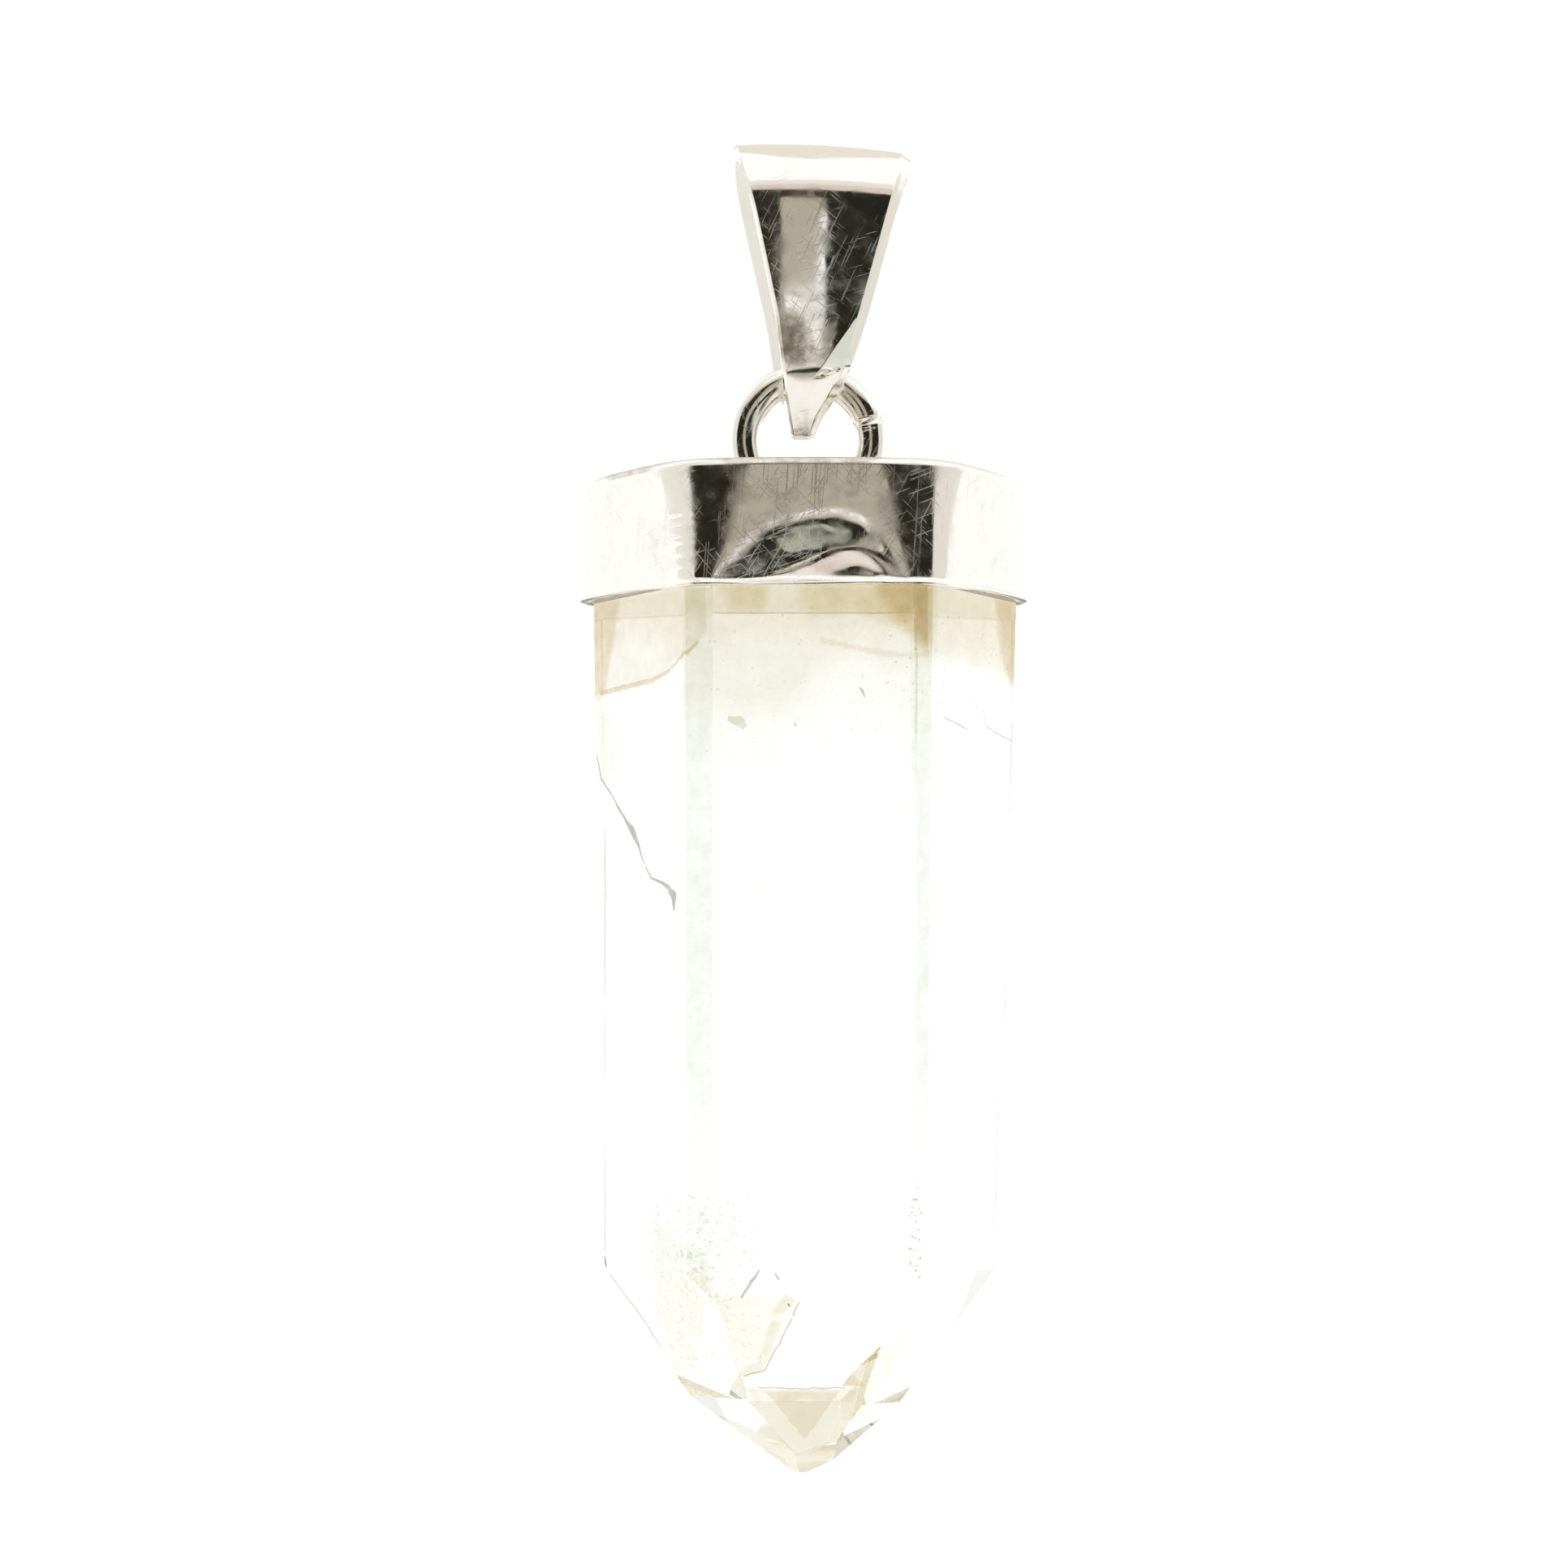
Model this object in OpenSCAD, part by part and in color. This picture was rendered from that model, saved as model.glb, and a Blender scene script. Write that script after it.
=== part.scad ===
// Quartz point pendant: a tapered silver bail, which holds a ring soldered to a silver cap, and a
// six-sided quartz point in the cap.
// Millimetres, +Z up, front towards -Y. The origin is on the inside top of the bail's tunnel,
// where a chain would run through along X.

/* [Bail] */
// Width of the bail over its top
bail_top_width = 6.7; // [6:0.1:7.2]
// Depth of the bail at its top, front to back
bail_depth = 5.3; // [4.9:0.1:6]
// Thickness of the bail's metal at the top
bail_wall = 0.75; // [0.6:0.05:0.9]
// Height of the bail below the inside of its top
bail_drop = 10.3; // [10.2:0.1:10.8]
// Width of the bevel along the bail's sides
bail_bevel = 0.4; // [0.25:0.05:0.5]
// Lean of the bail, its top to the right, in degrees
bail_lean = 2; // [0:0.5:3]
// Turn of the bail on the ring, its front to the right, in degrees
bail_turn = 5; // [0:1:5]

/* [Ring] */
// Diameter of the ring, through the middle of its wire
ring_diameter = 4.7; // [4.6:0.05:4.9]
// Diameter of the ring's wire
wire_diameter = 1.1; // [0.9:0.05:1.15]
// Height of the ring's centre above the cap
ring_rise = 1.6; // [1.4:0.1:1.8]

/* [Cap] */
// Width of the cap, from corner to corner
cap_width = 16.3; // [16.2:0.1:16.8]
// Height of the cap
cap_height = 4.45; // [4:0.05:5]
// Thickness of the cap's band
band_wall = 0.3; // [0.25:0.05:0.35]
// Thickness of the cap's top plate
plate_thickness = 0.5; // [0.4:0.05:0.7]
// Radius of the cap's upright corners
cap_corner = 2; // [1.8:0.1:2.4]
// How far the lip round the lower edge stands out
lip_flare = 0.15; // [0.1:0.01:0.2]

/* [Crystal] */
// Length of the crystal below the cap
point_length = 32; // [31:0.5:34]
// Size of the crystal's section, where 1 fills the cap
crystal_girth = 1; // [0.97:0.01:1]

/* [Hidden] */
$fn = 64;
far = 60;            // reach of a block that cuts or keeps one side of the work
fit_gap = 0.04;      // between the crystal and the cap

// The bail's side view is three circles, one below the other, and the leaves between them.
top_r = bail_depth / 2;
tunnel_r = top_r - bail_wall;
top_z = -tunnel_r;
eye_r = 1.64;
eye_wall = 0.46;
eye_z = -7.28;
tip_r = 0.4;
tip_z = tip_r - bail_drop;

// The bail's front view. It was filed by hand, so its lower end bends a little to the left.
bail_sides = [
    // height, left side, right side
    [bail_wall, -bail_top_width / 2, bail_top_width / 2],
    [-6.1, -1.6, 1.75],
    [-8.2, -1.25, 1.12],
    [-9.5, -0.97, 0.45],
    [-bail_drop, -0.68, 0.05],
];
function height(row) = row[0];
function left_side(row) = row[1];
function right_side(row) = row[2];
side_angle = atan((bail_top_width / 2 - right_side(bail_sides[2])) / (bail_wall - height(bail_sides[2])));
bevel_reach = 2 * bail_top_width;
spare = 1;           // by which a cut runs past the metal

// The ring hangs in the eye, and the cap hangs straight down from it.
ring_r = ring_diameter / 2;
wire_r = wire_diameter / 2;
ring_x = -0.48;
ring_z = -7.96 - ring_r;
foot_x = sqrt(ring_r * ring_r - ring_rise * ring_rise);
solder_height = 0.35;
solder_spread = 0.35;

cap_x = -0.63;       // the cap sits a little to the ring's left
plate_z = ring_z - ring_rise;
rim_z = plate_z - cap_height;
lip_height = 0.3;
apex_z = rim_z - point_length;

// The crystal's six sides, in turn from the front. Each leans in as it goes down, turns in more at
// its shoulder and once more at its break. Angles are in degrees, and heights are above the apex.
sides = [
    // azimuth, distance at the rim, lean, shoulder height, slope, break height, end slope
    [0, 6.75, 1.2, 5.8, 35, 3.3, 42],
    [60, 6.9, 1, 7.4, 32.2, 2.6, 45.5],
    [120, 6.66, 2.2, 7.8, 32.2, 2.6, 45.5],
    [180, 6.75, 1.2, 7.1, 33, 2.8, 48],
    [240, 6.88, 1.3, 7.6, 31.1, 2.8, 49.8],
    [300, 6.76, 0.7, 7.3, 31.1, 2.8, 49.8],
];
function azimuth(side) = side[0];
function rim_distance(side) = crystal_girth * side[1];
function lean(side) = side[2];
function shoulder_height(side) = side[3];
function slope(side) = side[4];
function break_height(side) = side[5];
function end_slope(side) = side[6];

// Small chips off the corners
chips = [
    // azimuth, distance, height above the apex, slope
    [270, 7.28, 7.5, 14],
    [87, 6.3, 5.7, 25],
    [152, 7.35, 20.5, 4],
    [20, 1.35, 0.45, 62],
];

// How far a side lies from the crystal's axis, where it turns in at its shoulder and its break
function shoulder_distance(side) =
    rim_distance(side) - (point_length - shoulder_height(side)) * tan(lean(side));
function break_distance(side) =
    shoulder_distance(side) - (shoulder_height(side) - break_height(side)) * tan(slope(side));

// Two rollers that lie along X, one below the other, and the space between them that flat leaves
// tangent to both would close
module rollers_and_leaves(upper_z, upper_r, lower_z, lower_r) {
    turn = asin((upper_r - lower_r) / (upper_z - lower_z));
    upper = [upper_r * cos(turn), upper_z - upper_r * sin(turn)];
    lower = [lower_r * cos(turn), lower_z - lower_r * sin(turn)];
    along_x(upper_z) circle(upper_r);
    along_x(lower_z) circle(lower_r);
    along_x(0) polygon([
        upper,
        [0, upper_z],
        [-upper[0], upper[1]],
        [-lower[0], lower[1]],
        [0, lower_z],
        lower
    ]);
}

// The bail's front view, run on past its top and its tip
module bail_front_view() {
    rows = bail_sides;
    top = rows[0];
    tip = rows[len(rows) - 1];
    polygon([
        [left_side(top) - spare * tan(side_angle), height(top) + spare],
        [right_side(top) + spare * tan(side_angle), height(top) + spare],
        for (i = [1:len(rows) - 1]) [right_side(rows[i]), height(rows[i])],
        [right_side(tip), height(tip) - spare],
        [left_side(tip), height(tip) - spare],
        for (i = [len(rows) - 1:-1:1]) [left_side(rows[i]), height(rows[i])]
    ]);
}

// A side view in [y, z], raised to height z and drawn out along X past the bail's sides
module along_x(z) {
    translate([-bail_top_width, 0, z]) rotate([90, 0, 90]) linear_extrude(2 * bail_top_width) children();
}

// Keeps all that lies within the bevel along the right side
module within_bevel() {
    translate([bail_top_width / 2 - bail_wall * tan(side_angle), 0, 0])
        rotate([0, side_angle, 0])
            hull()
                for (round = [[top_z, top_r], [eye_z, eye_r + eye_wall], [tip_z, tip_r]])
                    translate([0, 0, round[0] / cos(side_angle)])
                        rotate([0, -90, 0])
                            cylinder(h = bevel_reach, r1 = round[1] - bail_bevel / sqrt(2),
                                     r2 = round[1] - bail_bevel / sqrt(2) + bevel_reach, $fn = 48);
}

// The bail: one strip of silver, folded over at the top and joined at the tip
module bail() {
    color("silver")
        rotate([0, bail_lean, bail_turn])
            difference() {
                intersection() {
                    union() {
                        rollers_and_leaves(top_z, top_r, eye_z, eye_r + eye_wall);
                        rollers_and_leaves(eye_z, eye_r + eye_wall, tip_z, tip_r);
                    }
                    rotate([90, 0, 0])
                        translate([0, 0, -far]) linear_extrude(2 * far) bail_front_view();
                    within_bevel();
                    mirror([1, 0, 0]) within_bevel();
                }
                rollers_and_leaves(top_z, tunnel_r, eye_z, eye_r);
            }
}

// A hexagonal prism with rounded upright corners, two of them on the X axis
module rounded_hexagon(width, corner, height) {
    centre_r = width / 2 - corner;
    linear_extrude(height)
        polygon([for (turn = [0:60:300], side = [-30, 30]) [
            centre_r * cos(turn) + corner * cos(turn + side),
            centre_r * sin(turn) + corner * sin(turn + side)
        ]]);
    for (turn = [0:60:300])
        rotate([0, 0, turn]) translate([centre_r, 0, 0]) cylinder(h = height, r = corner);
}

// The ring, filed flat where it stands on the plate, with solder run round each foot
module ring() {
    intersection() {
        translate([ring_x, 0, ring_z])
            rotate([90, 0, 0]) rotate_extrude() translate([ring_r, 0]) circle(wire_r);
        translate([-far, -far, plate_z - plate_thickness / 2]) cube(2 * far);
    }
    for (side = [-1, 1])
        translate([ring_x + side * foot_x, 0, plate_z])
            cylinder(h = solder_height, r1 = wire_r + solder_spread, r2 = wire_r + 0.05);
}

// The cap: a band round the crystal, a top plate and the ring, soldered into one
module cap() {
    color("gainsboro") {
        translate([cap_x, 0, 0])
            difference() {
                union() {
                    translate([0, 0, rim_z]) rounded_hexagon(cap_width, cap_corner, cap_height);
                    translate([0, 0, rim_z])
                        rounded_hexagon(cap_width + 2 * lip_flare, cap_corner + lip_flare, lip_height);
                }
                translate([0, 0, rim_z - spare])
                    rounded_hexagon(cap_width - 2 * band_wall, cap_corner - band_wall,
                                    cap_height + spare - plate_thickness);
            }
        ring();
    }
}

// Keeps all that lies behind one flat face, which leans in as it goes down. The face passes the
// axis at the distance given, at height z.
module behind_face(azimuth, distance, lean, z) {
    translate([0, 0, z])
        rotate([0, 0, azimuth])
            translate([0, -distance, 0])
                rotate([lean, 0, 0])
                    translate([-far, 0, -far]) cube(2 * far);
}

// The room for the crystal: inside the cap, and everything below it down to the blunt tip
module crystal_room() {
    translate([0, 0, rim_z - spare])
        rounded_hexagon(cap_width - 2 * (band_wall + fit_gap), cap_corner - band_wall - fit_gap,
                        cap_height + spare - plate_thickness - fit_gap);
    translate([-far / 2, -far / 2, apex_z]) cube([far, far, rim_z - fit_gap - apex_z]);
}

// The crystal: six sides, six slopes and six end facets round a blunt tip
module crystal() {
    color("whitesmoke", 0.6)
        translate([cap_x, 0, 0])
            intersection() {
                crystal_room();
                intersection_for (side = sides) {
                    intersection() {
                        behind_face(azimuth(side), rim_distance(side), lean(side), rim_z);
                        behind_face(azimuth(side), shoulder_distance(side), slope(side),
                                    apex_z + shoulder_height(side));
                        behind_face(azimuth(side), break_distance(side), end_slope(side),
                                    apex_z + break_height(side));
                    }
                }
                intersection_for (chip = chips)
                    behind_face(chip[0], chip[1], chip[3], apex_z + chip[2]);
            }
}

bail();
cap();
crystal();
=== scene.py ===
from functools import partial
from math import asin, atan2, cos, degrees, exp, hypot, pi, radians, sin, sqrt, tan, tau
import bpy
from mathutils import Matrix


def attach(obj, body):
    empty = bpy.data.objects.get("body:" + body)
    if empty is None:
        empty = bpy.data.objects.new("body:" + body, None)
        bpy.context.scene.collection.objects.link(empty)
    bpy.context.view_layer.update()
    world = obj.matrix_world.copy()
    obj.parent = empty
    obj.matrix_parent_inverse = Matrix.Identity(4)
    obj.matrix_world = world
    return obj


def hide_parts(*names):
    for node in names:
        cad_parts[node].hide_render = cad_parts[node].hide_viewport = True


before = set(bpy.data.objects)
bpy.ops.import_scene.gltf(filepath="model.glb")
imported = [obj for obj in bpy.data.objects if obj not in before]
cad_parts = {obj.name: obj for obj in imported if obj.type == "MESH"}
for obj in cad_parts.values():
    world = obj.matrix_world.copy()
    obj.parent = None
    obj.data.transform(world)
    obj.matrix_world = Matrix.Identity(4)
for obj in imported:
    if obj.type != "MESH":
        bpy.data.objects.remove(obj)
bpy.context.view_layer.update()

# A quartz point in a silver cap, with a soldered ring and a folded silver bail.
# Shapes are drawn in millimetres in the CAD frame (+Z up, front towards -Y, origin inside the
# bail's top) and turned to metres when a piece is finished.
from types import SimpleNamespace

import bmesh
import bpy
from mathutils import Matrix, Vector
from mathutils.noise import noise

scene = bpy.context.scene
toMetres = Matrix.Scale(0.001, 4)


# Small helpers

def linear(hexColour):                     # sRGB hex to linear RGBA
    parts = [int(hexColour[i:i + 2], 16) / 255 for i in (1, 3, 5)]
    return tuple(c / 12.92 if c <= 0.04045 else ((c + 0.055) / 1.055) ** 2.4 for c in parts) + (1.0,)


# Adds one node. A second word in its kind is its operation. Values go to its inputs in turn, or
# by name or number from a dictionary, and a node given there stands for its first output in use.
def addNode(tree, kind, *values, **settings):
    kind, *operation = kind.split()
    node = tree.nodes.new(kind if "Node" in kind else "ShaderNode" + kind)
    if operation:
        node.operation = operation[0]
    for name, value in settings.items():
        setattr(node, name, value)
    inputs = values[0] if values and isinstance(values[0], dict) else dict(enumerate(values))
    for key, value in inputs.items():
        if isinstance(value, bpy.types.Node):
            value = next(socket for socket in value.outputs if socket.enabled)
        if isinstance(value, bpy.types.NodeSocket):
            tree.links.new(value, node.inputs[key])
        elif isinstance(value, str) and value.startswith("#"):
            node.inputs[key].default_value = linear(value)
        else:
            node.inputs[key].default_value = value
    return node


def newMaterial(name, viewColour):         # a bare material, and addNode for its tree
    material = bpy.data.materials.new(name)
    material.use_nodes = True
    material.node_tree.nodes.clear()
    material.diffuse_color = linear(viewColour)
    return material, partial(addNode, material.node_tree)


def newShapeTree(name, sockets):           # a Geometry Nodes tree, addNode for it, and its named inputs
    tree = bpy.data.node_groups.new(name, "GeometryNodeTree")
    tree.interface.new_socket("Geometry", in_out="OUTPUT", socket_type="NodeSocketGeometry")
    for label, kind in sockets.items():
        tree.interface.new_socket(label, in_out="INPUT", socket_type="NodeSocket" + kind)
    return tree, partial(addNode, tree), tree.nodes.new("NodeGroupInput").outputs


def endTree(add, geometry, material):      # the result gets its material and leaves the tree
    clad = add("GeometryNodeSetMaterial", {"Geometry": geometry, "Material": material})
    add("NodeGroupOutput", clad)


def addObject(name, data):
    thing = bpy.data.objects.new(name, data)
    scene.collection.objects.link(thing)
    return thing


def growMesh(name, tree, values, base=None):    # runs a tree once and keeps its result as a plain mesh
    holder = addObject(name, base or bpy.data.meshes.new(name))
    modifier = holder.modifiers.new("shape", "NODES")
    modifier.node_group = tree
    for item in tree.interface.items_tree:
        if item.in_out == "INPUT" and item.name in values:
            modifier[item.identifier] = values[item.name]
    depsgraph = bpy.context.evaluated_depsgraph_get()
    mesh = bpy.data.meshes.new_from_object(holder.evaluated_get(depsgraph))
    holder.modifiers.remove(modifier)
    bpy.data.objects.remove(holder)
    return mesh


def openMesh(mesh):                        # a bmesh copy of a mesh
    bm = bmesh.new()
    bm.from_mesh(mesh)
    return bm


def closeMesh(bm, mesh):
    bm.to_mesh(mesh)
    bm.free()


def meshOf(name, bm, *materials):
    mesh = bpy.data.meshes.new(name)
    closeMesh(bm, mesh)
    for material in materials:
        mesh.materials.append(material)
    return mesh


def joinRows(bm, rows, closed=True):       # faces between rows of vertices, which may close in a ring
    for here, there in zip(rows, rows[1:]):
        for i in range(len(here) if closed else len(here) - 1):
            j = (i + 1) % len(here)
            bm.faces.new((here[i], here[j], there[j], there[i]))


def paint(mesh, name, valueAt):            # a number for each vertex, for a material to read
    layer = mesh.attributes.new(name, "FLOAT", "POINT")
    for vertex in mesh.vertices:
        layer.data[vertex.index].value = valueAt(vertex.co)


def smoothStep(low, high, value):
    t = min(max((value - low) / (high - low), 0.0), 1.0)
    return t * t * (3 - 2 * t)


def between(rows, at):                     # value at a place, from rows of (place, value)
    rows = sorted(rows)
    at = min(max(at, rows[0][0]), rows[-1][0])
    for (a, here), (b, there) in zip(rows, rows[1:]):
        if at <= b:
            return here + (there - here) * (at - a) / (b - a)


def bell(value, centre, width):            # 1 at the centre, which dies away on both sides
    return exp(-((value - centre) / width) ** 2)


# Turns a piece to metres, shades it smooth with creases where faces meet at more degrees than
# that, and says what it rides on and replaces
def finishPiece(name, mesh, body, node, creases=0):
    mesh.transform(toMetres)
    if creases:
        bm = openMesh(mesh)
        for face in bm.faces:
            face.smooth = True
        for edge in bm.edges:
            edge.smooth = len(edge.link_faces) == 2 and edge.calc_face_angle(0) < radians(creases)
        closeMesh(bm, mesh)
    piece = addObject(name, mesh)
    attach(piece, body)
    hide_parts(node)
    print("piece", name, len(mesh.polygons), "faces")


# Camera: the photo's view, from a little below, looking up

cameraView = {
    "aimAt": (-0.63, 0.0, -23.7),
    "distance": 190.0,
    "upwards": 4.3,                        # degrees
    "frameSize": 1932,                     # the photo's width and height in pixels
    "pixelSize": 0.03,                     # millimetres in each pixel, at the aim
    "aimPixel": (990, 986),
    "sensor": 36,
}


def setCamera():
    view = SimpleNamespace(**cameraView)
    tilt = radians(view.upwards)
    lens = bpy.data.cameras.new("camera")
    lens.sensor_width = view.sensor
    lens.lens = view.distance / view.pixelSize / view.frameSize * view.sensor
    lens.shift_x = (view.frameSize / 2 - view.aimPixel[0]) / view.frameSize
    lens.shift_y = (view.aimPixel[1] - view.frameSize / 2) / view.frameSize
    lens.clip_start, lens.clip_end = 0.005, 5
    camera = addObject("camera", lens)
    backwards = Vector((0, cos(tilt), sin(tilt)))
    camera.location = (Vector(view.aimAt) - view.distance * backwards) * 0.001
    camera.rotation_euler = (pi / 2 + tilt, 0, 0)
    scene.camera = camera
    print("camera set")


setCamera()


# Materials. A MapRange node takes a value, the two ends it runs between, and what they become.

# Sterling silver, sawn from sheet, soldered and buffed on a mop. It mirrors the room, but fine
# wheel scratches catch the light, dull grey stays in the corners, and the insides keep the
# matt white of the pickle. Real scratches are 0.01 to 0.03 mm wide: these are about 0.05 mm.
def buffedSilver(name, look):
    look = SimpleNamespace(**look)
    material, add = newMaterial(name, look.colour)
    place = add("TexCoord").outputs["Object"]
    scratches = None
    for turn, width, length, seed in look.scratches:    # degrees, then millimetres
        laid = add("Mapping", {
            "Vector": place, "Location": (seed * 0.01, seed * 0.02, 0),
            "Rotation": (0, radians(turn), radians(turn * 0.4)),
            "Scale": (width * 0.001, width * 0.008, length * 0.001)}, vector_type="TEXTURE")
        grain = add("TexNoise", {"Vector": laid, "Scale": 1.0, "Detail": 0.0})
        line = add("MapRange", grain, look.scratchCut, look.scratchCut + 0.05)
        scratches = add("Math MAXIMUM", scratches, line) if scratches else line
    # worn patches a few millimetres across, where the scratches are denser
    patches = add("TexNoise", {"Vector": place, "Scale": 420.0, "Detail": 3.0})
    worn = add("MapRange", patches, 0.4, 0.62, look.leastWear)
    # pits of about 0.07 mm, from the casting of the sheet
    pitting = add("TexVoronoi", {"Vector": place, "Scale": 3600.0})
    pit = add("MapRange", pitting, 0.16, 0.08, 0.0, look.pits)
    marks = add("Math MULTIPLY", add("Math MAXIMUM", scratches, pit), worn)
    # dull patches: grime, solder and tarnish, and at the cap's rim in front also painted shade
    grime = add("Attribute", attribute_name="grime").outputs["Fac"]
    matt = add("Attribute", attribute_name="matt").outputs["Fac"]
    blotch = add("TexNoise", {"Vector": place, "Scale": 2600.0, "Detail": 4.0, "Roughness": 0.6})
    dull = add("MapRange", add("Math MULTIPLY", grime, blotch), 0.1, 0.5)
    colour = add("Mix", {"Factor": dull, 6: look.colour, 7: look.grime}, data_type="RGBA")
    markRough = add("Math MULTIPLY_ADD", marks, look.markRoughness, look.roughness)
    dullRough = add("Math MULTIPLY_ADD", dull, 0.25, markRough)
    # smears of fingerprints and old polish, 0.3 mm and more across
    smear = add("TexNoise", {"Vector": place, "Scale": 1100.0, "Detail": 5.0, "Roughness": 0.62})
    smeared = add("MapRange", smear, 0.4, 0.7, 0.0, look.smears)
    rough = add("Math MULTIPLY_ADD", matt, 0.5, add("Math ADD", smeared, dullRough))
    # ripples left by the mop, about 1 mm long and a few microns deep, then the scratches
    ripple = add("TexNoise", {"Vector": place, "Scale": 900.0})
    soft = add("Bump", {"Height": ripple, "Distance": look.ripple * 0.001})
    cut = add("Bump", {"Height": marks, "Normal": soft, "Distance": look.scratchDepth * 0.001},
              invert=True)
    # pickled silver scatters like chalk, so its mirroring share drops
    mirroring = add("Math MULTIPLY_ADD", matt, -0.75, 1.0)
    add("OutputMaterial", add("BsdfPrincipled", {
        "Base Color": colour, "Metallic": mirroring, "Roughness": rough, "Normal": cut}))
    return material


bailSilver = buffedSilver("buffed sterling silver", {
    "colour": "#F6F4EF", "grime": "#B8AE9F", "roughness": 0.07, "markRoughness": 0.12,
    "leastWear": 0.0, "ripple": 0.004, "scratchDepth": 0.002, "scratchCut": 0.73, "pits": 0.35,
    "smears": 0.16, "scratches": ((24, 0.05, 2.2, 3.1), (-48, 0.045, 1.8, 7.7), (73, 0.05, 2.6, 12.9)),
})
# its dull colour also paints shade at the rim's lowest edge in front
capSilver = buffedSilver("scratched sterling silver", {
    "colour": "#F5F2ED", "grime": "#B3A997", "roughness": 0.09, "markRoughness": 0.16,
    "leastWear": 0.05, "ripple": 0.005, "scratchDepth": 0.003, "scratchCut": 0.72, "pits": 0.6,
    "smears": 0.26, "scratches": ((31, 0.05, 2.4, 1.7), (-42, 0.055, 2.0, 5.3), (68, 0.05, 2.4, 9.4),
                                  (4, 0.045, 3.0, 15.2)),
})
clearTint = "#FCFDFB"


# Rock crystal, sawn and polished into a point. Clear, with a trace of grey-green along the
# edges, where they were never polished and stayed frosted.
def rockCrystal(name, look):
    material, add = newMaterial(name, "#F4F7F3")
    place = add("TexCoord").outputs["Object"]
    swell = add("TexNoise", {"Vector": place, "Scale": 260.0, "Detail": 1.0})
    soft = add("Bump", {"Height": swell, "Distance": look["swell"] * 0.001})
    grit = add("TexNoise", {"Vector": place, "Scale": 5200.0, "Detail": 3.0, "Roughness": 0.7})
    pits = add("Bump", {"Height": grit, "Normal": soft, "Distance": look["grit"] * 0.001})
    cloud = add("TexNoise", {"Vector": place, "Scale": 1500.0, "Detail": 5.0, "Roughness": 0.65})
    mottle = add("MapRange", cloud, 0.35, 0.65)
    shade = add("Mix", {"Factor": mottle, 6: look["colour"], 7: look["tint"]}, data_type="RGBA")
    roughness = look["roughness"]
    if "frostEnds" in look:                # the frosting thins out between these heights
        height = add("SeparateXYZ", place).outputs["Z"]
        start, end = look["frostEnds"]
        frost = add("MapRange", height, end * 0.001, start * 0.001, look["leastFrost"])
        shade = add("Mix", {"Factor": frost, 6: clearTint, 7: shade}, data_type="RGBA")
        roughness = add("Math MULTIPLY", frost, roughness)
    add("OutputMaterial", add("BsdfPrincipled", {
        "Base Color": shade, "Roughness": roughness, "IOR": 1.544, "Transmission Weight": 1.0,
        "Normal": pits}))
    return material


clearQuartz = rockCrystal("polished rock crystal", {
    "colour": clearTint, "tint": "#F6F8F4", "roughness": 0.0, "swell": 0.004, "grit": 0.00002})
frostedQuartz = rockCrystal("frosted rock crystal", {
    "colour": "#F0F4EC", "tint": "#DDE5D8", "roughness": 0.22, "swell": 0.004, "grit": 0.001,
    "frostEnds": (-33.6, -35.8), "leastFrost": 0.25})
wornQuartz = rockCrystal("worn rock crystal edge", {
    "colour": "#ECEFEA", "tint": "#D2D8CE", "roughness": 0.12, "swell": 0.0, "grit": 0.001})

# Old epoxy between stone and cap: an uneven cream film, honey-coloured where it is thick. The
# point's facets mirror it up the stone, which is why the tip looks beige.
glue, add = newMaterial("aged epoxy film", "#EFE3CC")
cloud = add("TexNoise", {"Vector": add("TexCoord").outputs["Object"], "Scale": 520.0, "Detail": 5.0,
                         "Roughness": 0.6})
tones = add("ValToRGB", cloud)
tones.color_ramp.elements.new(0.5)
toneStops = (0.3, "#FBF7EF"), (0.5, "#FEFDF9"), (0.68, "#FFFFFD")
for element, (position, hexColour) in zip(tones.color_ramp.elements, toneStops):
    element.position, element.color = position, linear(hexColour)
add("OutputMaterial", add("BsdfDiffuse", {"Color": tones, "Roughness": 0.4}))

# Healed cracks and mineral films inside the stone. They stain the light that passes and scatter a
# little of it. Stain and density come from the sheet itself, and a cloudy pattern of about
# 0.3 mm breaks them up.
film, add = newMaterial("mineral film in quartz", "#E2D8C8")
place = add("TexCoord").outputs["Object"]
sheet = add("Attribute", attribute_name="film")
cloud = add("TexNoise", {"Vector": place, "Scale": 1300.0, "Detail": 6.0, "Roughness": 0.65})
broken = add("MapRange", cloud, 0.3, 0.62, 0.6)
dense = add("Math MULTIPLY", sheet.outputs["Alpha"], broken)
stained = add("Mix", {"Factor": dense, 6: "#FFFFFF", 7: sheet}, data_type="RGBA")
through = add("BsdfTransparent", stained)
lit = add("MixShader", 0.5, add("BsdfDiffuse", sheet), add("BsdfTranslucent", sheet))
scattered = add("Math MULTIPLY", dense, 0.12)
add("OutputMaterial", add("MixShader", scattered, through, lit))
print("materials made")


# Bail: one strip of silver, folded over and joined at the tip

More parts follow.
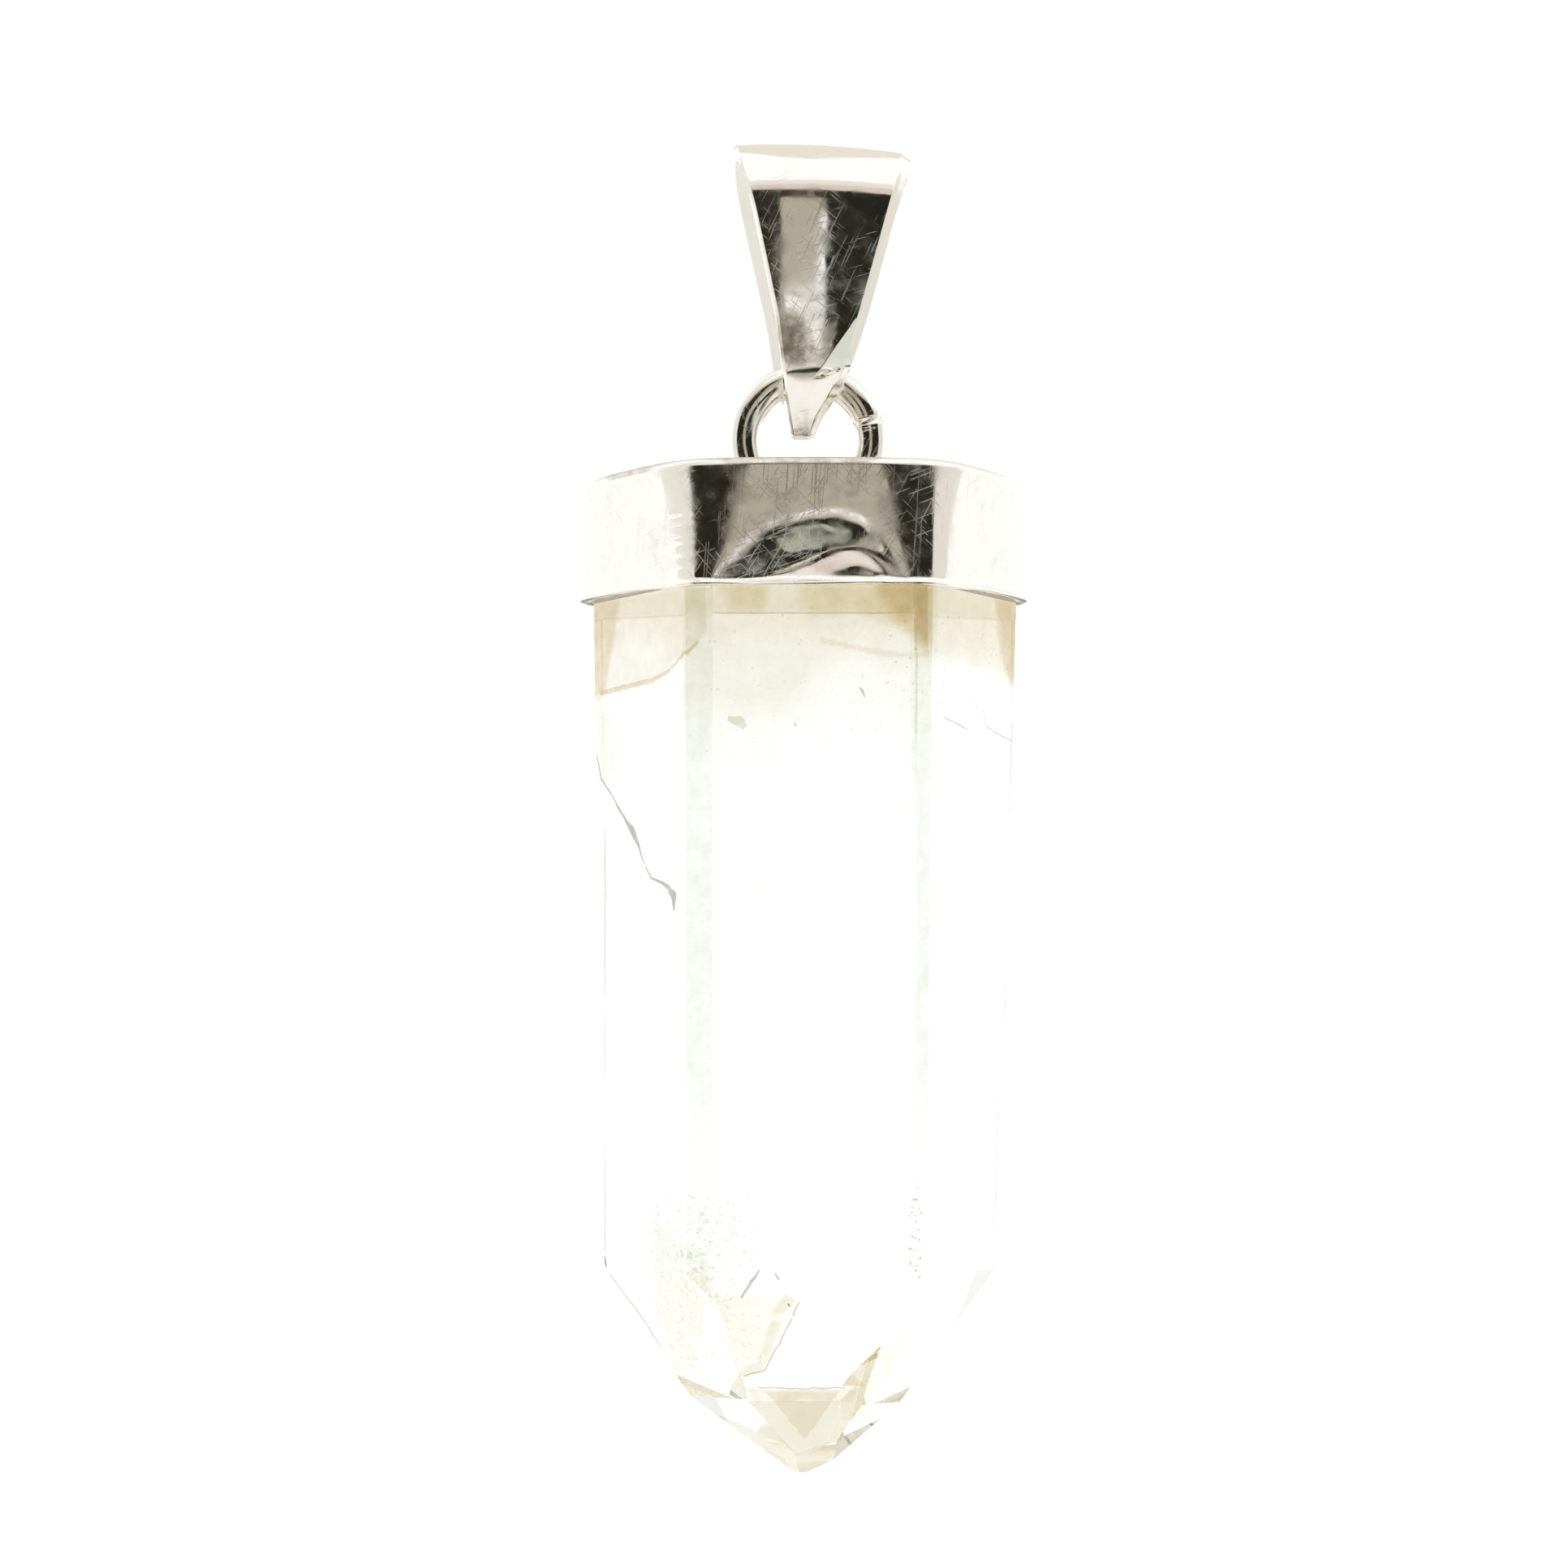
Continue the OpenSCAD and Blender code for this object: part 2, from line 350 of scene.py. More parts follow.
bailForm = {
    "topRadius": 2.65, "topZ": -1.9, "tunnelRadius": 1.9,
    "eyeOuter": 2.1, "eyeInner": 1.64, "eyeZ": -7.28,
    "tipRadius": 0.4, "tipZ": -9.9,
    # height, left and right side
    "sides": ((0.75, -3.35, 3.35), (-6.1, -1.6, 1.75), (-8.2, -1.25, 1.12), (-9.5, -0.97, 0.45),
              (-10.3, -0.68, 0.05)),
    "sideEase": 0.45,                      # over which each kink in the sides is eased
    "bevelLeft": 0.1, "depthLeft": 0.12, "bevelRight": 0.4, "depthRight": 0.3,
    # height and width of a flat filed beside the right bevel, which widens down to the fold
    "flat": ((-6.1, 0.46), (-6.35, 0.5), (-7.03, 0.78), (-7.8, 1.06), (-8.3, 1.24), (-8.5, 1.24),
             (-8.75, 0.46)),
    "flatSlope": 0.3,
    # place across and height of the fold, where the leaf turns in to the tip
    "fold": ((-1.3, -8.15), (-1.17, -8.18), (-0.69, -8.35), (-0.36, -8.38), (0.16, -8.24),
             (0.68, -7.98), (1.3, -7.85)),
    "foldSoft": 0.5, "foldCentre": -0.28, "foldReach": 0.95,
    "crown": 9.4,                          # radius of the front leaf's gentle curve from side to side
    "crownDrop": 0.06,
    "belly": 0.06, "bellyTop": -1.6, "bellyLength": 5.9,    # how the leaf bows out between its bends
    "waviness": 0.004,
    "lean": 2.0, "turn": 5.0,
    "counts": (44, 60, 44, 30, 14),        # points along each bend and leaf, from the top down
    "columns": 32, "flatColumns": 8, "insideColumns": 6,
}


def bailSide(z, column):                   # left (1) or right (2) side of the front view
    rows = [(row[0], row[column]) for row in bailForm["sides"]]
    return sum(between(rows, z + bailForm["sideEase"] * k / 3) for k in range(-3, 4)) / 7


def leafAngle(upper, lower):               # where a flat leaf leaves a bend, each (radius, height)
    return pi / 2 + asin((upper[0] - lower[0]) / (upper[1] - lower[1]))


def onBend(bend, angle):                   # y and z on a bend, from +Z towards the front
    return -bend[0] * sin(angle), bend[1] + bend[0] * cos(angle)


def loopRound(bends, counts):              # (normal angle, y, z) down the front and up the back
    points, start = [], 0.0
    for k, bend in enumerate(bends):
        last = k == len(bends) - 1
        end = pi if last else leafAngle(bend, bends[k + 1])
        count = counts[2 * k]
        for i in range(count):
            angle = start + (end - start) * i / count
            points.append((angle, *onBend(bend, angle)))
        if not last:
            count = counts[2 * k + 1]
            a, b = onBend(bend, end), onBend(bends[k + 1], end)
            points += [(end, a[0] + (b[0] - a[0]) * i / count, a[1] + (b[1] - a[1]) * i / count)
                       for i in range(count)]
        start = end
    lowest = (pi, 0.0, bends[-1][1] - bends[-1][0])
    return points + [lowest] + [(tau - a, -y, z) for a, y, z in points[:0:-1]]


def buildBail():
    form = SimpleNamespace(**bailForm)
    top, eye, tip = (form.topRadius, form.topZ), (form.eyeOuter, form.eyeZ), (form.tipRadius, form.tipZ)
    outer = loopRound((top, eye, tip), form.counts)
    inner = loopRound(((form.tunnelRadius, form.topZ), (form.eyeInner, form.eyeZ)),
                      (*form.counts[:2], sum(form.counts[2:])))
    upper = leafAngle(top, eye)
    (bendY, bendZ), (tipY, tipZ) = onBend(eye, upper), onBend(tip, leafAngle(eye, tip))
    recede = tan(upper - pi / 2) + form.belly * pi / form.bellyLength

    def foldHeight(x):
        return sum(between(form.fold, x + side) for side in (-0.16, -0.08, 0, 0.08, 0.16)) / 5

    def foldedY(x, z):                     # the front below the eye: leaf, fold and tip
        at = foldHeight(x)
        soft = form.foldSoft * max(1 - ((x - form.foldCentre) / form.foldReach) ** 2, 0.15)
        turnIn = (tipY - bendY - recede * (bendZ - at)) / (at - tipZ) - recede
        past = at + soft - z
        bend = 0.0 if past < 0 else past * past / (4 * soft) if past < 2 * soft else past - soft
        return bendY + recede * (bendZ - z) + turnIn * bend

    easing = {1.0: 1.0, 0.9: 0.9, 0.5: 0.47, 0.1: 0.05, 0.0: 0.0}    # share of a bevel's width to depth
    firstOutside = form.insideColumns + 1
    bm = bmesh.new()
    rings = []
    for (angle, y, z), (_, innerY, innerZ) in zip(outer, inner):
        left, right = bailSide(z, 1), bailSide(z, 2)
        normal = Vector((0, -sin(angle), cos(angle)))
        width = right - left
        # the crown fades out over the top and at the tip
        turned = min(angle, tau - angle)
        crowned = (0.3 + 0.7 * smoothStep(0.3, 1.15, turned)) * smoothStep(pi, 1.9, turned)
        along = min(max((form.bellyTop - z) / form.bellyLength, 0), 1)
        bowed = form.belly * sin(pi * along) if abs(y) > 1 else 0.0
        bevelled = min(1.0, 0.35 + 0.65 * abs(y) / 1.2)
        bevelLeft, bevelRight = min(form.bevelLeft, 0.2 * width), min(form.bevelRight, 0.3 * width)
        flat = min(between(form.flat, z), 0.62 * width) if y < 0 else bevelRight + 0.06
        flat = max(flat, bevelRight + 0.03)

        def outerPoint(x, down=0.0):       # down is the share of the bevel's depth
            u = x - (left + right) / 2
            sag = crowned * (u * u / (2 * form.crown) - form.crownDrop) - bowed
            sunk = (form.depthRight if u > 0 else form.depthLeft) * bevelled * down
            base = foldedY(x, z) if y < 0 and tipZ <= z < bendZ else y
            if y < 0:
                filed = form.flatSlope * max(x - right + flat, 0) * smoothStep(-6.0, -6.4, z)
                sunk = max(sunk, filed * smoothStep(0.0, 0.08, z - foldHeight(x)))
            return Vector((x, base, z)) - normal * (sag + sunk)
        innerLeft, innerRight = bailSide(innerZ, 1), bailSide(innerZ, 2)
        ring = [Vector((innerLeft + (innerRight - innerLeft) * i / form.insideColumns, innerY, innerZ))
                for i in range(firstOutside)]
        ring.append(ring[-1] * 0.85 + outerPoint(right, 1.0) * 0.15)    # where the polished side begins
        ring += [outerPoint(right - bevelRight * (1 - share), down) for share, down in easing.items()]
        ring += [outerPoint(right - bevelRight - (flat - bevelRight) * i / form.flatColumns)
                 for i in range(1, form.flatColumns + 1)]
        ring += [outerPoint(right - flat - (width - bevelLeft - flat) * i / form.columns)
                 for i in range(1, form.columns)]
        ring += [outerPoint(left + bevelLeft * (1 - share), down)
                 for share, down in reversed(easing.items())]
        ring.append(ring[0] * 0.85 + outerPoint(left, 1.0) * 0.15)
        for point in ring[firstOutside + 1:-1]:
            point += normal * (form.waviness * noise(point * 0.9 + Vector((3, 8, 1)))
                               + 0.4 * form.waviness * noise(point * 2.6))
        rings.append([bm.verts.new(point) for point in ring])
    joinRows(bm, rings + rings[:1])
    bmesh.ops.recalc_face_normals(bm, faces=bm.faces)
    mesh = meshOf("bailStrip", bm, bailSilver)

    def grimeAt(p):                        # handled metal, dull low on the left of the leaf
        left = smoothStep(0.4, -0.9, p.x + 0.12 * (p.z + 7)) * smoothStep(-5.3, -6.9, p.z)
        return 0.8 * left * smoothStep(-8.2, -7.3, p.z) if p.y < -1.7 else 0.05
    paint(mesh, "grime", grimeAt)
    matt = mesh.attributes.new("matt", "FLOAT", "POINT")
    for i in range(len(mesh.vertices)):    # the inside was never polished
        matt.data[i].value = 1.0 if i % len(rings[0]) < firstOutside else 0.0
    mesh.transform(Matrix.Rotation(radians(form.turn), 4, "Z")
                   @ Matrix.Rotation(radians(form.lean), 4, "Y"))
    finishPiece("bailStrip", mesh, "bail", "bail", 24)


buildBail()


# Cap: a hand-bent band round the stone, a top plate soldered over it, and a wire ring

capForm = {
    "axisX": -0.63, "plateZ": -11.91, "rimZ": -16.36,
    "halfWidth": 8.15, "frontDistance": 7.3,
    "rightFrontSide": -27.0, "leftFrontSide": -148.5,    # degrees: the front lies a little to the right
    "softTop": 8.0, "softRim": 17.0,       # how squarely the band follows the stone, top and rim
    "wall": 0.3, "plate": 0.5, "lipFlare": 0.14, "lipHeight": 0.34,
    # distance in from the wall and down from the top: a shallow solder seam, then the rounded edge
    "topEdge": ((0.62, 0), (0.52, 0.015), (0.46, 0.04), (0.38, 0.015), (0.3, 0), (0.24, 0.008),
                (0.18, 0.04), (0.1, 0.11), (0.03, 0.2), (0.005, 0.26)),
    "wallTop": 0.33,                       # where the edge ends and the flat wall begins
    "steps": 560, "wallRows": 80,
    "rimSink": 0.17,                       # the rim hangs this much lower in front
    "flatInside": 5.5,                     # the plate is flat up to here from its middle
    "waves": 0.012, "ripples": 0.004, "seamWaves": 0.02,    # how uneven the hand-bent metal is
}


def bandTree():
    # The outline is a softened hexagon: with d the distance of each side, the sum of
    # (reach along the side's normal / d) to the power of softness is 1.
    tree, add, given = newShapeTree("band round the stone", {
        "section": "Object", "halfWidth": "Float", "frontDistance": "Float", "rightFrontSide": "Float",
        "leftFrontSide": "Float", "softTop": "Float", "softRim": "Float", "plateZ": "Float",
        "rimZ": "Float", "steps": "Int", "metal": "Material"})
    section = add("GeometryNodeObjectInfo", {"Object": given["section"]}).outputs["Geometry"]
    count = add("GeometryNodeAttributeDomainSize", {"Geometry": section}, component="MESH")
    around = add("Math ADD", given["steps"], 1)
    grid = add("GeometryNodeMeshGrid", {"Vertices X": around, "Vertices Y": count})
    step = add("GeometryNodeInputIndex")
    turnIndex = add("Math FLOOR", add("Math DIVIDE", add("Math ADD", step, 0.5), count))
    rowIndex = add("Math SUBTRACT", step, add("Math MULTIPLY", turnIndex, count))
    row = add("GeometryNodeSampleIndex", {
        "Geometry": section, "Value": add("GeometryNodeInputPosition"), "Index": rowIndex},
        data_type="FLOAT_VECTOR", domain="POINT")
    sectionPoint = add("SeparateXYZ", row)
    reach, height = sectionPoint.outputs["X"], sectionPoint.outputs["Z"]
    angle = add("Math DIVIDE", add("Math MULTIPLY", turnIndex, tau), given["steps"])
    softness = add("MapRange", height, given["rimZ"], given["plateZ"], given["softRim"],
                   given["softTop"])
    total = None
    for normal in (-90, 90, given["rightFrontSide"], 30, 150, given["leftFrontSide"]):
        facingAt = radians(normal) if isinstance(normal, int) else normal
        distance = given["frontDistance"]
        if normal not in (-90, 90):        # the slanting sides bring the corners out to the half width
            across = add("Math MULTIPLY", given["halfWidth"],
                         add("Math ABSOLUTE", add("Math COSINE", facingAt)))
            distance = add("Math MULTIPLY", across,
                           add("Math POWER", 2.0, add("Math DIVIDE", 1.0, softness)))
        facing = add("Math MAXIMUM", add("Math COSINE", add("Math SUBTRACT", angle, facingAt)), 0.0)
        part = add("Math POWER", add("Math DIVIDE", facing, distance), softness)
        total = add("Math ADD", total, part) if total else part
    outline = add("Math POWER", total, add("Math DIVIDE", -1.0, softness))
    radius = add("Math MULTIPLY", outline, add("Math DIVIDE", reach, given["halfWidth"]))
    spot = add("CombineXYZ", add("Math MULTIPLY", radius, add("Math COSINE", angle)),
               add("Math MULTIPLY", radius, add("Math SINE", angle)), height)
    shaped = add("GeometryNodeSetPosition", {"Geometry": grid, "Position": spot})
    joined = add("GeometryNodeMergeByDistance", {"Geometry": shaped, "Distance": 0.0005})
    endTree(add, add("GeometryNodeRealizeInstances", joined), given["metal"])
    return tree


def bandSection(form):                     # half of the cap cut through, from the middle of its top
    w, top, rim, flare, lip = form.halfWidth, form.plateZ, form.rimZ, form.lipFlare, form.lipHeight
    points = [(w * k / 30, top) for k in range(28)]
    points += [(w - across, top - down) for across, down in form.topEdge]
    wallTop, wallEnd, rows = top - form.wallTop, rim + lip, form.wallRows
    points += [(w, wallTop + (wallEnd - wallTop) * k / rows) for k in range(rows + 1)]
    points += [(w + flare * t * t, rim + lip - (lip - 0.09) * t) for t in (0.2, 0.4, 0.6, 0.8, 0.95)]
    points += [(w + flare, rim + 0.07), (w + flare * 0.93, rim + 0.03), (w + flare * 0.6, rim + 0.005),
               (w + flare * 0.1, rim)]
    inside, start, ceiling = w - form.wall, rim + 0.1, top - form.plate
    points += [(inside + 0.08, rim), (inside + 0.02, rim + 0.03), (inside, start)]
    points += [(inside, start + (ceiling - rim - 0.1) * k / 8) for k in range(1, 9)]
    return points + [(inside * k / 6, ceiling) for k in range(5, -1, -1)]


def buildBand():
    form = SimpleNamespace(**capForm)
    points = bandSection(form)
    section = bpy.data.meshes.new("band section")
    edges = [(i, i + 1) for i in range(len(points) - 1)]
    section.from_pydata([(x, 0, z) for x, z in points], edges, [])
    sectionObject = addObject("band section", section)
    mesh = growMesh("capBand", bandTree(), {
        **capForm, "section": sectionObject, "metal": capSilver,
        "rightFrontSide": radians(form.rightFrontSide),
        "leftFrontSide": radians(form.leftFrontSide)})
    bpy.data.objects.remove(sectionObject)
    mesh.transform(Matrix.Translation((form.axisX, 0, 0)))
    bm = openMesh(mesh)
    bmesh.ops.dissolve_degenerate(bm, dist=0.0002, edges=bm.edges)
    bmesh.ops.recalc_face_normals(bm, faces=bm.faces)
    for vertex in bm.verts:
        p = vertex.co
        out = Vector((p.x - form.axisX, p.y, 0))
        radius = out.length
        if radius < form.flatInside:
            continue
        out.normalize()
        move = (form.waves * noise(p * 0.42 + Vector((1, 5, 2)))
                + form.ripples * noise(p * 1.3))
        if p.y < -3:
            move -= frontDents(p.x - form.axisX, p.z)
        # the filed solder seam round the top
        seam = smoothStep(-12.12, -11.95, p.z)
        move += form.seamWaves * noise(p * 2.1 + Vector((9, 1, 4))) * seam
        sink = form.rimSink * smoothStep(-14.6, -16.2, p.z) * smoothStep(-3.5, -6.5, p.y)
        onWall = smoothStep(form.flatInside, 7.0, radius)
        vertex.co = p + out * move * onWall - Vector((0, 0, sink))
    for face in bm.faces:                  # glue has wetted the inside of the band
        place = face.calc_center_median()
        out = Vector((place.x - form.axisX, place.y, 0)).normalized()
        if face.normal.dot(out) < -0.5:
            face.material_index = 1
    mesh.materials.append(glue)
    closeMesh(bm, mesh)

    def grimeAt(p):                        # solder seam, and a dull strip at the rim's lowest edge in front, partly the glue line and partly painted shade under the lip
        radius = hypot(p.x - form.axisX, p.y)
        if p.z > -12.2:
            return 0.6 * smoothStep(6.4, 7.0, radius) * smoothStep(7.75, 7.55, radius)
        # painted shade: the rim's lowest edge in front is dulled for the glue line and the shade in the gap
        # under the lip
        return 0.12 if p.z < -16.28 and p.y < -2 else 0.0
    paint(mesh, "grime", grimeAt)
    finishPiece("capBand", mesh, "drop", "cap", 40)


# The knock in the front of the band, as four lines across it. The wall turns in slowly from the
# first line and steeply from the second, turns out again at the third, in a fold that faces up,
# and runs down to the rim from the fourth.
knockForm = {
    "lines": (                             # across, then the heights of the four lines
        (-4.2, -16.3, -16.32, -16.34, -16.36), (-3.6, -15.9, -16.2, -16.3, -16.35),
        (-3.0, -15.2, -15.95, -16.25, -16.35), (-2.4, -14.8, -15.5, -16.15, -16.3),
        (-1.9, -14.45, -15.1, -16.05, -16.3), (-1.4, -14.2, -14.72, -15.95, -16.28),
        (-0.9, -14.05, -14.45, -15.85, -16.26), (-0.4, -13.9, -14.27, -15.7, -16.22),
        (0.2, -13.75, -14.16, -15.52, -16.14), (0.9, -13.62, -14.12, -15.28, -16.0),
        (1.35, -13.6, -14.18, -15.13, -15.8), (1.8, -13.62, -14.35, -15.08, -15.6),
        (2.3, -13.85, -14.68, -15.15, -15.75), (2.7, -14.25, -15.1, -15.4, -16.0),
        (3.2, -15.1, -15.8, -16.0, -16.3), (3.6, -15.9, -16.2, -16.3, -16.4),
        (4.1, -16.35, -16.36, -16.37, -16.4)),
    "top": -13.4, "bottom": -16.9,
    "slow": 0.08, "turning": 0.16, "steep": 0.285, "deepest": 0.35, "core": (0.6, 0.8, 0.1),
    "foldUp": -0.42, "foldLine": 0.15, "below": -0.14, "centre": 0.2, "reach": 4.6, "uneven": 0.012,
    # a row of small nicks at the left corner
    "nicks": 6, "nickDepth": 0.05, "nickX": -4.6, "nickWidth": 0.45, "nickHeight": 0.05,
    "nickTop": -13.95, "nickPitch": 0.34,
}


def knockDepth(x, z):
    form = SimpleNamespace(**knockForm)
    rows = form.lines
    if not rows[0][0] < x < rows[-1][0]:
        return 0.0
    after = next(i for i, row in enumerate(rows) if row[0] >= x)
    here, there = rows[after - 1], rows[after]
    t = (x - here[0]) / (there[0] - here[0])
    first, second, third, fourth = (a + t * (b - a) for a, b in zip(here[1:], there[1:]))
    fold = third - form.foldLine
    fourth = min(fourth, fold - 0.02)
    bend = min(0.15, 0.3 * max(second - third, 0.05))
    coreX, coreWidth, coreSlope = form.core
    deepest = form.deepest + coreSlope * bell(x, coreX, coreWidth)
    heights = (first, first - 0.25 * (first - second), second, second - bend, (second + third) / 2,
               third + bend, third, fold, fourth, fourth - 0.12, form.bottom)
    slopes = (0, form.slow, form.turning, form.steep, deepest, form.steep, form.turning, form.foldUp,
              form.foldUp, form.below, form.below)
    depth = 0.0
    for upper, lower, slopeA, slopeB in zip(heights, heights[1:], slopes, slopes[1:]):
        span = max(upper - lower, 0.0001)
        t = min(max((upper - z) / span, 0), 1)
        depth += span * (slopeA * t + (slopeB - slopeA) * t * t / 2)
    return max(depth, -0.04) * max(1 - ((x - form.centre) / form.reach) ** 6, 0)


def frontDents(x, z):                      # how far the front wall is pushed in, by place on it
    form = SimpleNamespace(**knockForm)
    depth = 0.0
    if z < form.top:
        depth = sum(knockDepth(x + side, z) for side in (-0.3, -0.15, 0, 0.15, 0.3)) / 5
    depth += form.uneven * min(depth / 0.1, 1) * noise(Vector((x * 1.3, z * 2.6, 4.0)))
    for k in range(form.nicks):
        height = form.nickTop - form.nickPitch * k + 0.05 * sin(k * 2.4)
        depth += form.nickDepth * bell(z, height, form.nickHeight) * bell(x, form.nickX, form.nickWidth)
    return depth


buildBand()


ringForm = {
    "x": -0.48, "z": -10.31, "radius": 2.35, "wire": 0.55,
    "overPlate": 1.6, "sink": 0.22,        # the ring's centre over the plate, and its feet into it
    "seamAngle": 17.0, "seamWidth": 2.2, "seamDepth": 0.09,    # degrees, degrees, millimetres
    "lump": 0.03, "lumpBefore": 5.0, "lumpWidth": 3.0,    # solder that stands proud beside the seam
    "uneven": 0.02,
    # solder round each foot: how far it spreads, and its height from its foot in the plate
    "collar": 0.36, "collarFoot": -0.06, "collarHeight": 0.5,
    "pathSteps": 260, "wireSteps": 56, "collarSteps": 40, "collarRows": 10,
}


def ringTree():
    tree, add, given = newShapeTree("bent wire", {
        "radius": "Float", "wire": "Float", "start": "Float", "sweep": "Float", "place": "Vector",
        "metal": "Material"})
    path = add("GeometryNodeCurveArc", {
        "Resolution": ringForm["pathSteps"], "Radius": given["radius"], "Start Angle": given["start"],
        "Sweep Angle": given["sweep"]})
    wire = add("GeometryNodeCurvePrimitiveCircle", {
        "Resolution": ringForm["wireSteps"], "Radius": given["wire"]})
    bent = add("GeometryNodeCurveToMesh", {"Curve": path, "Profile Curve": wire, "Fill Caps": True})
    placed = add("GeometryNodeTransform", {"Geometry": bent, "Translation": given["place"],
                                           "Rotation": (pi / 2, 0, 0)})
    endTree(add, add("GeometryNodeRealizeInstances", placed), given["metal"])
    return tree


def buildRing():
    form = SimpleNamespace(**ringForm)
    dip = asin((form.overPlate + form.sink) / form.radius)
    centre, plateZ = Vector((form.x, 0, form.z)), form.z - form.overPlate
    mesh = growMesh("capRing", ringTree(), {
        **ringForm, "start": -dip, "sweep": pi + 2 * dip, "place": centre, "metal": capSilver})
    bm = openMesh(mesh)
    bmesh.ops.remove_doubles(bm, verts=bm.verts, dist=0.0005)
    bmesh.ops.recalc_face_normals(bm, faces=bm.faces)
    for vertex in bm.verts:
        arm = vertex.co - centre
        angle = degrees(atan2(arm.z, arm.x))
        core = centre + Vector((arm.x, 0, arm.z)).normalized() * form.radius
        out = (vertex.co - core).normalized()
        seam = form.seamDepth * bell(angle, form.seamAngle, form.seamWidth)
        if out.y >= 0:                     # the seam is filed smoother at the back
            seam *= 0.3
        lump = form.lump * bell(angle - form.seamAngle, -form.lumpBefore, form.lumpWidth)
        uneven = form.uneven * noise(vertex.co * 1.1)
        vertex.co += out * (lump + uneven - seam)
    count = form.collarSteps
    for side in (-1, 1):                   # solder that crept up each foot of the wire
        rows = []
        for k in range(form.collarRows + 1):
            t = k / form.collarRows
            height = form.collarFoot + form.collarHeight * t
            spread = form.wire * 1.02 + form.collar * (1 - t) ** 2.4
            centreX = form.x + side * sqrt(form.radius ** 2 - (form.overPlate - height) ** 2)
            rows.append([])
            for i in range(count):
                a = tau * i / count
                spot = Vector((cos(a) * 1.4 + side * 5, sin(a) * 1.4, t))
                r = spread * (1 + 0.09 * noise(spot))
                rows[-1].append(bm.verts.new((
                    centreX + r * 1.12 * cos(a), r * sin(a), plateZ + height)))
        joinRows(bm, rows)
        bm.faces.new(rows[0][::-1])
        bm.faces.new(rows[-1])
    mesh = meshOf("capRing", bm, capSilver)
    paint(mesh, "grime", lambda p: smoothStep(plateZ + 0.75, plateZ + 0.1, p.z))
    finishPiece("capRing", mesh, "drop", "cap", 40)


buildRing()


# Crystal: the cut planes of the stone, taken from its six sides

crystalForm = {
    "axisX": -0.63, "rimZ": -16.36, "topZ": -12.5, "length": 32.0,
    "sides": (
        # azimuth, distance at rim, lean, shoulder height, slope, break height, end slope
        (0, 6.75, 1.2, 5.8, 35, 3.3, 42),
        (62, 7.1, 1, 7.4, 32.2, 2.6, 45.5),
        (120, 6.92, 0.3, 9.5, 32.2, 2.6, 45.5),
        (180, 6.75, 1.2, 5.5, 45.7, 2.8, 48),
        (240, 6.88, 1.3, 7.6, 31.1, 2.8, 49.8),
        (300, 6.76, 0.7, 7.3, 31.1, 2.8, 49.8)),
    # azimuth, distance, height above the tip, lean: a long flat along the right corner, and four chips
    "sideFlat": (91, 7.87, 32.0, 1.81),
    "chips": ((270, 7.28, 7.5, 14), (87, 6.3, 5.7, 25), (152, 7.35, 20.5, 4), (20, 1.35, 0.45, 62)),
    # depth at the rim and at the shoulder of the frosted band that ends each side
    "edgeWear": ((0.19, 0.14), (0.06, 0.05), (0.05, 0.06), (0.05, 0.05), (0.1, 0.06), (0.33, 0.3)),
    "wear": 0.025,                         # rounding of every other edge
    "insideCap": 0.962,                    # the hidden end is ground to fit the cap
    "glueUnder": 0.05, "groundOver": 0.06,    # where the glue and the ground end start, from the rim
    "block": (15, 15, 60),                 # what the stone is cut from: half width, half depth, depth
}
apexZ = crystalForm["rimZ"] - crystalForm["length"]
stonePlanes = []                           # for what lies inside the stone


def facePlane(azimuth, distance, lean, z):    # a point on the face, and its outward normal
    a, e = radians(azimuth), radians(lean)
    flat = Vector((sin(a), -cos(a), 0))
    point = flat * distance + Vector((crystalForm["axisX"], 0, z))
    return point, (flat * cos(e) - Vector((0, 0, sin(e)))).normalized()


def sideParts(distance, lean, shoulder, slope, breakAt, endSlope):    # distance, lean, height of each
    atShoulder = distance - (crystalForm["length"] - shoulder) * tan(radians(lean))
    atBreak = atShoulder - (shoulder - breakAt) * tan(radians(slope))
    return {"prism": (distance, lean, crystalForm["rimZ"]),
            "slope": (atShoulder, slope, apexZ + shoulder), "end": (atBreak, endSlope, apexZ + breakAt)}


stoneSides = {azimuth: sideParts(*row) for azimuth, *row in crystalForm["sides"]}


def splitMesh(bm, point, normal, clear=False):    # cuts at a plane, and may clear what is past it
    return bmesh.ops.bisect_plane(bm, geom=bm.verts[:] + bm.edges[:] + bm.faces[:], plane_co=point,
                                  plane_no=normal, clear_outer=clear, dist=1e-5)["geom_cut"]


